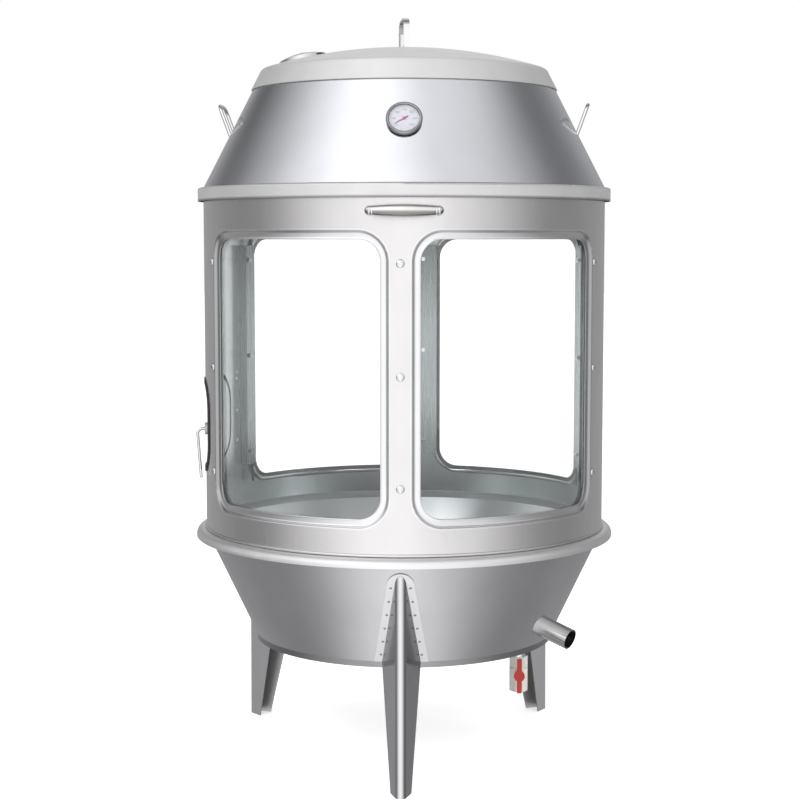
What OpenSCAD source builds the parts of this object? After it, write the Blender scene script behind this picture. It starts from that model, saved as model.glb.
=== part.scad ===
// A glass-walled charcoal roasting oven that stands on three legs and lifts apart in sections.
// The oven's axis is Z, the floor is z = 0 and the front faces -Y.
// Azimuths are in degrees from the front, and grow towards +X.

/* [Stack of sections] */
// Outside diameter of the glass barrel
barrel_d = 800; // [760:10:860]
// Height of the bowl's bottom edge above the floor
bowl_clearance = 236; // [200:2:280]
// Height of the conical bowl
bowl_h = 208; // [180:2:240]
// Diameter of the bowl at its bottom edge
bowl_bottom_d = 604; // [560:2:640]
// Height of the barrel sheet
barrel_h = 673; // [640:1:720]
// Height of the conical hood
hood_h = 192; // [170:1:215]
// Diameter of the hood at its top edge
hood_top_d = 602; // [570:2:640]
// Gap left where one section seats on another
seat_gap = 0.3; // [0.2:0.05:0.5]

/* [Sheet metal] */
// Thickness of the barrel, window frame and hatch sheet
barrel_sheet = 1.2; // [0.8:0.1:1.6]
// Thickness of the bowl, hood and lid sheet
cone_sheet = 1.5; // [1:0.1:2]
// Thickness of the leg channels
leg_sheet = 2; // [1.5:0.1:3]

/* [Rims] */
// How far the lower rim stands out from the barrel
rim_overhang = 20; // [14:1:26]
// Height of the lower rim's rolled edge
rim_drop = 17; // [15:1:24]
// How far the hood ring stands out from the barrel
hood_ring_overhang = 11; // [9:0.5:14]
// Height of the hood ring
hood_ring_h = 26; // [20:1:32]
// Radius of the bead at the barrel's foot
foot_bead_r = 3; // [2:0.5:4]

/* [Windows] */
// Mean width of the sheet between a front and a rear window
side_w = 346; // [330:1:380]
// Height of the windows' sill above the barrel's bottom edge
window_sill = 51; // [45:1:70]
// Height of the sheet above the windows
window_head = 82; // [76:1:110]
// Corner radius of the pressed border
window_corner_r = 57; // [45:1:70]
// Width of the pressed border
border_w = 17; // [14:0.5:20]
// How far the border is pressed in
border_depth = 7; // [5:0.5:9]
// Width of the mullion between two windows of a pair
mullion_w = 41; // [38:1:50]
// Azimuth of the front pair of windows
front_az = -1; // [-3:0.5:3]
// Azimuth of the rear pair of windows
rear_az = 173.5; // [170:0.5:177]
// Thickness of the curved glass
glass_t = 5; // [4:0.5:6]
// Thickness of the silicone seal
seal_t = 1.6; // [1:0.1:2.5]
// How far the glass reaches past the inner opening
glass_lap = 12; // [10:0.5:14]
// Thickness of the clamp strips
strip_t = 2; // [1.5:0.1:3]
// Mean distance of the clamp strips' ends from the border's edge
strip_end = 37; // [34:1:50]

/* [Window screws] */
// Diameter of the screws
screw_d = 5; // [4:0.5:6]
// Distance of a column's outer screws from the strip's ends
screw_end = 30; // [20:1:45]
// Distance of the outer screw columns from the border
screw_offset = 11; // [9:0.5:14]

/* [Charging hatch] */
// Width of the sheet between the hatch and the front window
hatch_front_w = 52; // [46:1:60]
// Width of the sheet between the hatch and the rear window, which carries the hinge
hatch_rear_w = 76; // [72:1:90]
// Height of the hatch
hatch_h = 170; // [150:1:190]
// Height of the hatch's middle above the barrel's bottom edge
hatch_level = 206; // [190:1:240]
// Corner radius of the hatch
hatch_corner_r = 52; // [40:1:60]
// How far the door lies behind the barrel's surface
door_recess = 4.5; // [4:0.1:6]

/* [Handles] */
// Length of the barrel's bow handles
bow_l = 132; // [116:2:150]
// Greatest diameter of the bow handles
bow_d = 22; // [18:1:26]
// Distance of the bow handles' middle from the barrel
bow_standoff = 35; // [30:1:42]
// Diameter of the hood's bent rod handles
rod_d = 7; // [6:0.5:9]
// Width of the hood's bent rod handles
rod_handle_w = 96; // [80:2:120]
// Reach of the hood's bent rod handles
rod_handle_h = 58; // [50:1:70]
// Length of the lid's strap handle
strap_handle_l = 116; // [100:2:140]
// Height of the lid's strap handle
strap_handle_h = 58; // [50:1:70]

/* [Lid] */
// Height of the lid
lid_h = 82.5; // [74:0.5:90]
// Radius of the lid's shallow dome
dome_r = 960; // [900:10:1100]
// Diameter of the vent's cap
vent_d = 96; // [84:2:110]

/* [Thermometer] */
// Diameter of the bezel
bezel_d = 67; // [60:1:76]
// Length of the probe
probe_l = 95; // [80:1:100]

/* [Legs] */
// Distance of the legs' noses from the axis, at the floor
leg_foot_r = 391; // [370:1:400]
// Radius of a leg's rounded nose
leg_nose_r = 11; // [9:0.5:14]
// Half the angle between a leg's wings
leg_half_angle = 18; // [15:0.5:21]
// Depth of a leg at the floor
leg_foot_depth = 36; // [30:1:44]

/* [Drains] */
// Outside diameter of the oil outlet pipe
outlet_d = 40; // [34:1:44]
// Length of the oil outlet pipe
outlet_l = 72; // [56:1:84]
// Bore of the drain valve
drain_bore_d = 19; // [16:1:20]
// Length of the drain valve's body
valve_l = 72; // [70:1:84]

/* [Charcoal basket] */
// Diameter of the charcoal basket
basket_d = 260; // [220:5:300]
// Height of the charcoal basket
basket_h = 182; // [150:2:185]

/* [Hidden] */
$fn = 48;
// Facets of the large round sheets
big_fn = 180;
// Overrun of a cut past the face that it opens
cut = 1;
// Play between a pin and the bore that it turns in
running = 0.05;
// Play where a fixed piece passes through a hole
loose = 0.25;
// Gap between fixed pieces that lie against each other on a curve
lay = 0.2;

// Levels of the stack
bowl_z0 = bowl_clearance;
bowl_z1 = bowl_z0 + bowl_h;
bowl_collar_h = 6;
rim_z1 = bowl_z1 + bowl_collar_h + cone_sheet;
barrel_z0 = rim_z1 + seat_gap;
barrel_z1 = barrel_z0 + barrel_h;
hood_z0 = barrel_z1 + seat_gap + cone_sheet;
hood_z1 = hood_z0 + hood_h;
lid_z0 = hood_z1 + seat_gap;

// Radii and slopes of the cones
barrel_r = barrel_d / 2;
barrel_in_r = barrel_r - barrel_sheet;
bowl_r0 = bowl_bottom_d / 2;
bowl_slope = atan((barrel_r - bowl_r0) / bowl_h);
hood_r1 = hood_top_d / 2;
hood_slope = atan((barrel_r - hood_r1) / hood_h);
function bowl_r(z) = bowl_r0 + (z - bowl_z0) * tan(bowl_slope);
function hood_r(z) = barrel_r - (z - hood_z0) * tan(hood_slope);
// Horizontal thickness of the bowl's sheet
bowl_wall = cone_sheet / cos(bowl_slope);

// Arc length round the barrel as an angle
function arc_deg(u) = u / barrel_r * 180 / PI;
// A window's width with its border, measured round the barrel, and its height
window_w = (PI * barrel_d - 2 * mullion_w - 2 * side_w) / 4;
window_h = barrel_h - window_sill - window_head;
window_az_step = arc_deg((window_w + mullion_w) / 2);
window_z = barrel_z0 + window_sill + window_h / 2;
window_az = [
    front_az - window_az_step, front_az + window_az_step,
    rear_az - window_az_step, rear_az + window_az_step
];
// Index of each window in the list above
front_left = 0;
front_right = 1;
rear_right = 2;
rear_left = 3;

// The hatch takes the left side's sheet between its two margins
window_pair_half = arc_deg(window_w + mullion_w / 2);
hatch_front_az = front_az - window_pair_half - arc_deg(hatch_front_w);
hatch_rear_az = rear_az - 360 + window_pair_half + arc_deg(hatch_rear_w);
hatch_az = (hatch_front_az + hatch_rear_az) / 2;
hatch_w = (hatch_front_az - hatch_rear_az) / arc_deg(1);
hatch_z = barrel_z0 + hatch_level;

// Radial stack behind a window's border
flange_out_r = barrel_in_r - border_depth + barrel_sheet;
flange_in_r = flange_out_r - barrel_sheet;
seal_out_r = flange_in_r - 2 * lay;
seal_in_r = seal_out_r - seal_t;
glass_out_r = seal_in_r - 2 * lay;
glass_in_r = glass_out_r - glass_t;
strip_out_r = glass_in_r - lay;
strip_in_r = strip_out_r - strip_t;
opening_w = window_w - 2 * border_w;
glass_span = arc_deg(opening_w + 2 * glass_lap);
// How far a clamp strip reaches over the glass's edge
strip_grip = 6;
// Distance of a pillar strip's fold from the glass's edge
strip_fold_w = 26;

// Points along a corner and along a straight edge of a rolled outline
corner_n = 6;
straight_n = 12;

// One point of a corner of a rolled outline, as arc length and height
function corner(cx, cz, r, a) = [cx + r * cos(a), cz + r * sin(a)];
// A rounded rectangle drawn in by s, as arc length and height
function rounded(w, h, r, s) =
    let (cx = w / 2 - r, cz = h / 2 - r, rs = r - s)
    concat(
        [for (i = [0:corner_n]) corner(cx, -cz, rs, -90 + 90 * i / corner_n)],
        [for (i = [0:corner_n]) corner(cx, cz, rs, 90 * i / corner_n)],
        [for (i = [1:straight_n - 1]) [cx - 2 * cx * i / straight_n, cz + rs]],
        [for (i = [0:corner_n]) corner(-cx, cz, rs, 90 + 90 * i / corner_n)],
        [for (i = [0:corner_n]) corner(-cx, -cz, rs, 180 + 90 * i / corner_n)],
        [for (i = [1:straight_n - 1]) [-cx + 2 * cx * i / straight_n, -cz - rs]]
    );
// A point at an azimuth, radius and height
function at(az, r, z) = [r * sin(az), -r * cos(az), z];
// A point of a flat outline rolled onto a cylinder
function rolled(p, r, az, z) = at(az + arc_deg(p[0]), r, z + p[1]);

// A closed section of [inset, radius] points, swept round a rolled outline
module rolled_frame(w, h, r, section, az, z) {
    m = len(section);
    rings = [for (q = section) [for (p = rounded(w, h, r, q[0])) rolled(p, q[1], az, z)]];
    n = len(rings[0]);
    faces = [
        for (j = [0:m - 1]) for (i = [0:n - 1])
            let (a = j * n + i, b = j * n + (i + 1) % n)
            let (c = (j + 1) % m * n + (i + 1) % n, d = (j + 1) % m * n + i)
            each [[a, b, c], [a, c, d]]
    ];
    polyhedron([for (ring = rings) each ring], faces, convexity = 6);
}

// A plug that cuts a rolled opening with edges square to the sheet
module rolled_plug(w, h, r, az, z) {
    reach = w / 4;
    r_in = barrel_r - reach / 2;
    r_out = barrel_r + reach / 2;
    outline = rounded(w, h, r, 0);
    n = len(outline);
    points = concat(
        [for (p = outline) rolled(p, r_in, az, z)],
        [for (p = outline) rolled(p, r_out, az, z)],
        [at(az, r_in - reach, z), at(az, r_out + reach, z)]
    );
    faces = [
        for (i = [0:n - 1])
            let (k = (i + 1) % n)
            each [[i, n + i, n + k], [i, n + k, k], [i, k, 2 * n], [n + k, n + i, 2 * n + 1]]
    ];
    polyhedron(points, faces, convexity = 4);
}

// A block of a cylinder wall, centred on an azimuth
module sector(r0, r1, z0, z1, az, span) {
    rotate([0, 0, az - 90 - span / 2])
        rotate_extrude(angle = span, $fn = big_fn)
            translate([r0, z0])
                square([r1 - r0, z1 - z0]);
}

// Points along a short arc round the oven's axis, in plan
arc_n = 3;
function plan_arc(r, a0, a1) =
    [for (i = [0:arc_n]) let (a = a0 + (a1 - a0) * i / arc_n) [r * sin(a), -r * cos(a)]];

// Places its children on the surface, with local Z outwards and local Y up
module on_surface(az, r, z, tilt = 0) {
    rotate([0, 0, az])
        translate([0, -r, z])
            rotate([90 - tilt, 0, 0])
                children();
}

// A round sheet turned from an outline, given from the bottom up as [radius, height] points.
// The wall lies inside the outline.
function along(a, b) = (b - a) / norm(b - a);
function inward(a, b) = let (d = along(a, b)) [-d[1], d[0]];
function mitre(a, b, c, t) =
    let (m = inward(a, b), n = inward(b, c))
    b + (m + n) * t / (1 + m * n);
function inner_line(p, t) =
    let (last = len(p) - 1)
    [for (i = [0:last])
        i == 0 ? p[0] + inward(p[0], p[1]) * t
        : i == last ? p[last] + inward(p[last - 1], p[last]) * t
        : mitre(p[i - 1], p[i], p[i + 1], t)];
// The inner line backwards, kept on its own side of the axis
function returning(p) = [for (i = [len(p) - 1:-1:0]) [max(p[i][0], 0), p[i][1]]];
module turned_sheet(outline, t) {
    rotate_extrude($fn = big_fn)
        polygon(concat(outline, returning(inner_line(outline, t))));
}

// A flat-bottomed dome, such as a screw's head
module dome(r, h) {
    ball_r = (r * r + h * h) / (2 * h);
    intersection() {
        translate([0, 0, h - ball_r])
            sphere(r = ball_r);
        cylinder(r = r, h = h);
    }
}

// A hexagon across its flats
module hex(across, h) {
    cylinder(d = across / cos(30), h = h, $fn = 6);
}

// Bowl, rim and floor

floor_skirt_h = 12;
floor_r = bowl_r0 - bowl_wall - seat_gap;
floor_z = bowl_z0 + cone_sheet;

outlet_az = 54;
outlet_tilt = -16;
outlet_level = 46;
outlet_z = bowl_z0 + outlet_level;
outlet_wall = 1.5;
outlet_root = 12;
module along_outlet() {
    on_surface(outlet_az, bowl_r(outlet_z), outlet_z, outlet_tilt)
        children();
}

// The valve stands under the floor, with its handle towards the front
valve_r = 235;
valve_az = 82.5;
valve_x = valve_r * sin(valve_az);
valve_y = -valve_r * cos(valve_az);
nipple_r = 13.2;

// The bowl's outer cone grown square to its surface, and run past both of its ends
module bowl_cone(grow, over) {
    shift = grow / cos(bowl_slope);
    translate([0, 0, bowl_z0 - over])
        cylinder(r1 = bowl_r(bowl_z0 - over) + shift, r2 = bowl_r(bowl_z1 + over) + shift,
            h = bowl_h + 2 * over, $fn = big_fn);
}

module bowl_shell() {
    color("gainsboro")
        difference() {
            turned_sheet([
                [bowl_r0, bowl_z0], [barrel_r, bowl_z1], [barrel_r, bowl_z1 + bowl_collar_h]
            ], cone_sheet);
            along_outlet()
                translate([0, 0, -outlet_root])
                    cylinder(r = outlet_d / 2 + loose, h = 2 * outlet_root);
            leg_rivet_places()
                translate([0, 0, -cone_sheet - cut])
                    cylinder(r = rivet_shank_r + loose, h = cone_sheet + 2 * cut);
        }
}

module bowl_floor() {
    color("silver")
        difference() {
            translate([0, 0, bowl_z0 - floor_skirt_h])
                cylinder(r = floor_r, h = floor_skirt_h + cone_sheet, $fn = big_fn);
            translate([0, 0, bowl_z0 - floor_skirt_h - cut])
                cylinder(r = floor_r - cone_sheet, h = floor_skirt_h + cut, $fn = big_fn);
            translate([valve_x, valve_y, bowl_z0 - cut])
                cylinder(r = nipple_r + loose, h = cone_sheet + 2 * cut);
        }
}

rim_roll_r = rim_drop - 2 * cone_sheet;
rim_roll_x = barrel_r + rim_overhang - rim_roll_r;
rim_hem_w = 7;
rim_spigot_h = 8;
// Inner face of the upstands that centre the barrel
spigot_r = barrel_in_r - seat_gap - cone_sheet;
module bowl_rim() {
    roll_z = rim_z1 - rim_roll_r;
    color("whitesmoke")
        rotate_extrude($fn = big_fn) {
            // Seat that carries the barrel, and the upstand inside it
            translate([spigot_r, rim_z1 - cone_sheet])
                square([rim_roll_x - spigot_r, cone_sheet]);
            translate([spigot_r, rim_z1 - cone_sheet])
                square([cone_sheet, cone_sheet + rim_spigot_h]);
            // Rolled outer edge
            translate([rim_roll_x, roll_z])
                intersection() {
                    difference() {
                        circle(r = rim_roll_r);
                        circle(r = rim_roll_r - cone_sheet);
                    }
                    square(rim_roll_r);
                }
            // Straight drop and turned hem
            translate([barrel_r + rim_overhang - cone_sheet, rim_z1 - rim_drop])
                square([cone_sheet, rim_drop - rim_roll_r]);
            translate([barrel_r + rim_overhang - rim_hem_w, rim_z1 - rim_drop])
                square([rim_hem_w, cone_sheet]);
        }
}

// Legs

leg_az = [front_az, -122, 128];
plate_top_r = 26;
plate_apex = 24;
plate_bottom_w = 102;
plate_z1 = bowl_z1 - plate_apex;
leg_lean = atan((leg_foot_r - bowl_r(plate_z1)) / plate_z1);

// The leg's outline seen from above, with its nose towards -Y
module leg_outline(r) {
    a = leg_half_angle;
    tangent = [r * cos(a), -r * sin(a)];
    end = tangent + bowl_r0 * [sin(a), cos(a)];
    circle(r = r);
    polygon([tangent, end, [-end[0], end[1]], [-tangent[0], tangent[1]]]);
}

module leg(az) {
    front_y = -leg_foot_r - leg_foot_depth;
    color("lightgray")
        difference() {
            rotate([0, 0, az])
                intersection() {
                    translate([0, -leg_foot_r, 0])
                        rotate([-leg_lean, 0, 0])
                            linear_extrude(height = bowl_z1)
                                translate([0, leg_nose_r])
                                    difference() {
                                        leg_outline(leg_nose_r);
                                        leg_outline(leg_nose_r - leg_sheet);
                                    }
                    // The wings taper from the bowl's bottom edge to the foot
                    rotate([90, 0, 90])
                        linear_extrude(height = bowl_bottom_d, center = true)
                            polygon([
                                [front_y, 0], [leg_foot_depth - leg_foot_r, 0], [-bowl_r0, bowl_z0],
                                [-bowl_r0, bowl_z1], [front_y, bowl_z1]
                            ]);
                }
            bowl_cone(cone_sheet + 2 * lay, 0);
        }
}
module leg_front() { leg(leg_az[0]); }
module leg_left() { leg(leg_az[1]); }
module leg_right() { leg(leg_az[2]); }

module leg_plates() {
    half_w = plate_bottom_w / 2;
    top_centre = plate_z1 - plate_top_r;
    color("gainsboro")
        difference() {
            intersection() {
                bowl_cone(cone_sheet + lay, 0);
                for (az = leg_az)
                    rotate([0, 0, az])
                        rotate([90, 0, 0])
                            linear_extrude(height = barrel_d) {
                                translate([0, top_centre])
                                    circle(r = plate_top_r);
                                polygon([
                                    [-half_w, bowl_z0], [half_w, bowl_z0],
                                    [plate_top_r, top_centre], [-plate_top_r, top_centre]
                                ]);
                            }
            }
            bowl_cone(lay, cut);
            leg_rivet_places()
                cylinder(r = rivet_shank_r + loose, h = 2 * cone_sheet + cut);
        }
}

rivet_head_r = 2.4;
rivet_head_h = 1.2;
rivet_shank_r = 1.5;
rivets_a_side = 6;
// Where the line of rivets starts and ends: half its width and its height above the bowl's edge
rivet_low = [38, 16];
rivet_high = [18, 156];
module leg_rivet_places() {
    for (az = leg_az, side = [-1, 1], i = [0:rivets_a_side - 1]) {
        place = rivet_low + (rivet_high - rivet_low) * i / (rivets_a_side - 1);
        z = bowl_z0 + place[1];
        on_surface(az + side * asin(place[0] / bowl_r(z)), bowl_r(z), z, -bowl_slope)
            children();
    }
}
module leg_rivets() {
    shank_l = 2 * cone_sheet + 2 * lay + rivet_head_h;
    color("darkgray")
        leg_rivet_places()
            translate([0, 0, cone_sheet + 2 * lay]) {
                dome(rivet_head_r, rivet_head_h);
                translate([0, 0, -shank_l])
                    cylinder(r = rivet_shank_r, h = shank_l + lay);
            }
}

// Drains

module oil_outlet_pipe() {
    color("silver")
        along_outlet()
            translate([0, 0, -outlet_root])
                difference() {
                    cylinder(d = outlet_d, h = outlet_l + outlet_root);
                    translate([0, 0, -cut])
                        cylinder(d = outlet_d - 2 * outlet_wall, h = outlet_l + outlet_root + 2 * cut);
                }
}

locknut_w = 34;
locknut_h = 7;
nipple_below = 68;
nipple_above = 10;
drain_r = drain_bore_d / 2;
socket_l = 14;
valve_z1 = bowl_z0 - nipple_below + socket_l;
valve_z0 = valve_z1 - valve_l;
valve_mid_z = (valve_z0 + valve_z1) / 2;
valve_end_r = 16;
valve_end_l = 24;
valve_mid_r = 18.5;
valve_neck_r = 8;
ball_wall = 4;
ball_r = drain_r + ball_wall;
seat_l = 4;
stem_r = 4;
neck_rise = 7;
handle_y = valve_mid_r + neck_rise;
handle_t = 5;
handle_hub_r = 11;
handle_l = 70;
handle_bar_w = 9.5;
module at_valve(z) {
    translate([valve_x, valve_y, z])
        children();
}
// Local Z points from the valve towards the front
module to_front() {
    rotate([90, 0, 0])
        children();
}

module drain_nipple() {
    color("silver")
        at_valve(bowl_z0 - nipple_below)
            difference() {
                cylinder(r = nipple_r, h = nipple_below + nipple_above);
                translate([0, 0, -cut])
                    cylinder(r = drain_r, h = nipple_below + nipple_above + 2 * cut);
            }
}

module drain_locknuts() {
    color("darkgray")
        for (z = [floor_z + lay, bowl_z0 - lay - locknut_h])
            at_valve(z)
                difference() {
                    hex(locknut_w, locknut_h);
                    translate([0, 0, -cut])
                        cylinder(r = nipple_r + lay, h = locknut_h + 2 * cut);
                }
}

module valve_body() {
    seat_top = ball_r + seat_l;
    color("ivory")
        difference() {
            union() {
                at_valve(valve_z0)
                    hex(2 * valve_end_r, valve_end_l);
                at_valve(valve_z1 - valve_end_l)
                    hex(2 * valve_end_r, valve_end_l);
                at_valve(valve_z0 + valve_end_l)
                    cylinder(r = valve_mid_r, h = valve_l - 2 * valve_end_l);
                at_valve(valve_mid_z)
                    to_front()
                        cylinder(r = valve_neck_r, h = handle_y - seat_gap);
            }
            at_valve(valve_z0 - cut)
                cylinder(r = drain_r, h = valve_l + 2 * cut);
            at_valve(valve_mid_z - seat_top)
                cylinder(r = ball_r + 2 * lay, h = 2 * seat_top);
            at_valve(valve_z1 - socket_l)
                cylinder(r = nipple_r + lay, h = socket_l + cut);
            at_valve(valve_mid_z)
                to_front()
                    cylinder(r = stem_r + running, h = handle_y + cut);
        }
}

module valve_seats() {
    color("white")
        for (side = [0, 180])
            at_valve(valve_mid_z)
                rotate([side, 0, 0])
                    difference() {
                        translate([0, 0, ball_r - seat_l])
                            cylinder(r = ball_r + lay, h = 2 * seat_l - lay);
                        translate([0, 0, -cut])
                            cylinder(r = drain_r, h = 2 * ball_r + cut);
                        sphere(r = ball_r + running);
                    }
}

module valve_ball() {
    color("gainsboro")
        at_valve(valve_mid_z)
            difference() {
                sphere(r = ball_r);
                translate([0, 0, -ball_r])
                    cylinder(r = drain_r - lay, h = 2 * ball_r);
            }
}

module valve_stem() {
    stem_root = ball_r + lay;
    color("silver")
        at_valve(valve_mid_z)
            to_front()
                translate([0, 0, stem_root])
                    cylinder(r = stem_r, h = handle_y + handle_t / 2 - stem_root);
}

module valve_handle() {
    color("red")
        at_valve(valve_mid_z)
            to_front()
                translate([0, 0, handle_y])
                    difference() {
                        union() {
                            cylinder(r = handle_hub_r, h = handle_t);
                            translate([-handle_bar_w / 2, -handle_l / 2, 0])
                                cube([handle_bar_w, handle_l, handle_t]);
                        }
                        translate([0, 0, -cut])
                            cylinder(r = stem_r + running, h = handle_t / 2 + cut);
                    }
}

// Charcoal basket

basket_wall = 2;
basket_foot_h = 10;
basket_foot_r = 9;
basket_feet = 3;
ledge_w = 20;
slot_count = 18;
slot_w = 14;
slot_margin = 30;
grate_t = 3;
grate_hole_r = 6;
grate_pitch = 34;
grate_rings = 3;
basket_z0 = floor_z + seat_gap;
basket_z1 = basket_z0 + basket_h;
module charcoal_basket() {
    basket_r = basket_d / 2;
    body_z0 = basket_z0 + basket_foot_h;
    slot_z0 = body_z0 + slot_margin;
    slot_z1 = basket_z1 - slot_margin;
    color("dimgray")
        difference() {
            union() {
                translate([0, 0, body_z0])
                    cylinder(r = basket_r, h = basket_z1 - body_z0, $fn = big_fn);
                for (i = [0:basket_feet - 1])
                    rotate([0, 0, i * 360 / basket_feet])
                        translate([0, -basket_r + basket_foot_r + basket_wall, basket_z0])
                            cylinder(r = basket_foot_r, h = basket_foot_h + basket_wall / 2);
            }
            translate([0, 0, body_z0 + basket_wall])
                cylinder(r = basket_r - basket_wall, h = basket_h, $fn = big_fn);
            translate([0, 0, body_z0 - cut])
                cylinder(r = basket_r - basket_wall - ledge_w, h = basket_wall + 2 * cut, $fn = big_fn);
            for (i = [0:slot_count - 1])
                rotate([0, 0, (i + 1 / 2) * 360 / slot_count])
                    translate([0, -basket_r - cut, 0]) {
                        translate([-slot_w / 2, 0, slot_z0 + slot_w / 2])
                            cube([slot_w, ledge_w, slot_z1 - slot_z0 - slot_w]);
                        for (z = [slot_z0 + slot_w / 2, slot_z1 - slot_w / 2])
                            translate([0, 0, z])
                                rotate([-90, 0, 0])
                                    cylinder(d = slot_w, h = ledge_w);
                    }
        }
}

module basket_grate() {
    grate_z = basket_z0 + basket_foot_h + basket_wall + lay;
    color("dimgray")
        translate([0, 0, grate_z])
            difference() {
                cylinder(r = basket_d / 2 - basket_wall - seat_gap, h = grate_t, $fn = big_fn);
                translate([0, 0, -cut])
                    cylinder(r = grate_hole_r, h = grate_t + 2 * cut);
                for (ring = [1:grate_rings], i = [0:6 * ring - 1])
                    rotate([0, 0, i * 360 / (6 * ring)])
                        translate([grate_pitch * ring, 0, -cut])
                            cylinder(r = grate_hole_r, h = grate_t + 2 * cut);
            }
}

// Barrel

screw_r = screw_d / 2;
screw_head_r = 8;
screw_head_h = 3.6;
nut_w = 8;
nut_h = 4;
screw_tip = 3;
screw_az_step = arc_deg(window_w / 2 + screw_offset);
screw_columns = [
    front_az, rear_az,
    window_az[front_left] - screw_az_step, window_az[front_right] + screw_az_step,
    window_az[rear_right] - screw_az_step, window_az[rear_left] + screw_az_step
];
// The screw columns sit a little above the windows' middle
screw_rise = 7;
screw_z = window_z + screw_rise;
strip_h = window_h - 2 * strip_end;
screw_pitch = strip_h / 2 - screw_end;
module window_screw_places(r) {
    for (az = screw_columns, i = [-1:1])
        on_surface(az, r, screw_z + i * screw_pitch)
            children();
}

// Hinge of the hatch, behind its rear edge
hinge_offset = 13;
hinge_az = hatch_az - arc_deg(hatch_w / 2 + hinge_offset);
knuckle_r = 5;
hinge_r = barrel_r + knuckle_r + 2 * loose;
hinge_pin_r = 2.5;
hinge_h = 168;
hinge_below = 70;
hinge_z0 = hatch_z - hinge_below;
leaf_t = 1.5;
leaf_w = 42;
hinge_rivet_offset = 27;
hinge_rivet_az = hinge_az - arc_deg(hinge_rivet_offset);
hinge_rivet_z = [12, 76, 144, 157];
hinge_rivet_r = 2;
hinge_rivet_head_r = 4;
module hinge_rivet_places(r) {
    for (z = hinge_rivet_z)
        on_surface(hinge_rivet_az, r, hinge_z0 + z)
            children();
}

module barrel_shell() {
    color("lightgray")
        difference() {
            union() {
                translate([0, 0, barrel_z0])
                    cylinder(r = barrel_r, h = barrel_h, $fn = big_fn);
                translate([0, 0, barrel_z0 + foot_bead_r])
                    rotate_extrude($fn = big_fn)
                        translate([barrel_r, 0])
                            circle(r = foot_bead_r);
            }
            translate([0, 0, barrel_z0 - cut])
                cylinder(r = barrel_in_r, h = barrel_h + 2 * cut, $fn = big_fn);
            for (az = window_az)
                rolled_plug(window_w, window_h, window_corner_r, az, window_z);
            rolled_plug(hatch_w, hatch_h, hatch_corner_r, hatch_az, hatch_z);
            window_screw_places(barrel_in_r - cut)
                cylinder(r = screw_r + loose, h = barrel_sheet + 2 * cut);
            hinge_rivet_places(barrel_in_r - cut)
                cylinder(r = hinge_rivet_r + loose, h = barrel_sheet + 2 * cut);
        }
}

// Pressed border: a flange behind the sheet, a step inwards and the flat round the opening
frame_lap = 8;
border_step_w = 3.6;
module window_frame(i) {
    lap_r = barrel_in_r - lay;
    color("whitesmoke")
        rolled_frame(window_w, window_h, window_corner_r, [
            [-frame_lap, lap_r - barrel_sheet], [0, lap_r - barrel_sheet], [border_step_w, flange_in_r],
            [border_w, flange_in_r], [border_w, flange_out_r], [barrel_sheet + border_step_w, flange_out_r],
            [barrel_sheet, lap_r], [-frame_lap, lap_r]
        ], window_az[i], window_z);
}
module window_frame_front_left() { window_frame(front_left); }
module window_frame_front_right() { window_frame(front_right); }
module window_frame_rear_left() { window_frame(rear_left); }
module window_frame_rear_right() { window_frame(rear_right); }

module window_glass(i) {
    half_h = window_h / 2 - border_w + glass_lap;
    color("lightcyan", 0.35)
        sector(glass_in_r, glass_out_r, window_z - half_h, window_z + half_h, window_az[i], glass_span);
}
module window_glass_front_left() { window_glass(front_left); }
module window_glass_front_right() { window_glass(front_right); }
module window_glass_rear_left() { window_glass(rear_left); }
module window_glass_rear_right() { window_glass(rear_right); }

seal_w = 8;
module window_seals() {
    color("darkslategray")
        for (az = window_az)
            rolled_frame(window_w, window_h, window_corner_r, [
                [border_w - seal_w, seal_in_r], [border_w - lay, seal_in_r],
                [border_w - lay, seal_out_r], [border_w - seal_w, seal_out_r]
            ], az, window_z);
}

strip_z0 = screw_z - strip_h / 2;
strip_z1 = screw_z + strip_h / 2;
module strip_holes() {
    window_screw_places(strip_in_r - cut)
        cylinder(r = screw_r + loose, h = strip_t + 2 * cut);
}

module mullion_strips() {
    // Bridges the gap between two panes
    span = 2 * window_az_step - glass_span + arc_deg(2 * strip_grip);
    color("silver")
        difference() {
            for (az = [front_az, rear_az])
                sector(strip_in_r, strip_out_r, strip_z0, strip_z1, az, span);
            strip_holes();
        }
}

// Folded strips: a band over the glass's edge and a flange out to the barrel's sheet
module pillar_strips() {
    fold_r = barrel_in_r - seat_gap;
    color("silver")
        difference() {
            for (i = [front_left, front_right, rear_right, rear_left]) {
                side = i == front_left || i == rear_right ? -1 : 1;
                edge = window_az[i] + side * (glass_span / 2 - arc_deg(strip_grip));
                end = edge + side * arc_deg(strip_grip + strip_fold_w);
                fold = end - side * arc_deg(strip_t);
                translate([0, 0, strip_z0])
                    linear_extrude(height = strip_h)
                        polygon(concat(
                            plan_arc(strip_in_r, edge, end),
                            [for (a = [end, fold]) fold_r * [sin(a), -cos(a)]],
                            plan_arc(strip_out_r, fold, edge)
                        ));
            }
            strip_holes();
        }
}

module window_screws() {
    shank_l = barrel_r - strip_in_r + nut_h + screw_tip;
    color("gainsboro")
        window_screw_places(barrel_r + lay) {
            dome(screw_head_r, screw_head_h);
            translate([0, 0, -shank_l - lay])
                cylinder(r = screw_r, h = shank_l + 2 * lay);
        }
}

module window_nuts() {
    color("silver")
        window_screw_places(strip_in_r - lay - nut_h)
            difference() {
                hex(nut_w, nut_h);
                translate([0, 0, -cut])
                    cylinder(r = screw_r + running, h = nut_h + 2 * cut);
            }
}

// Bow handles

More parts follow.
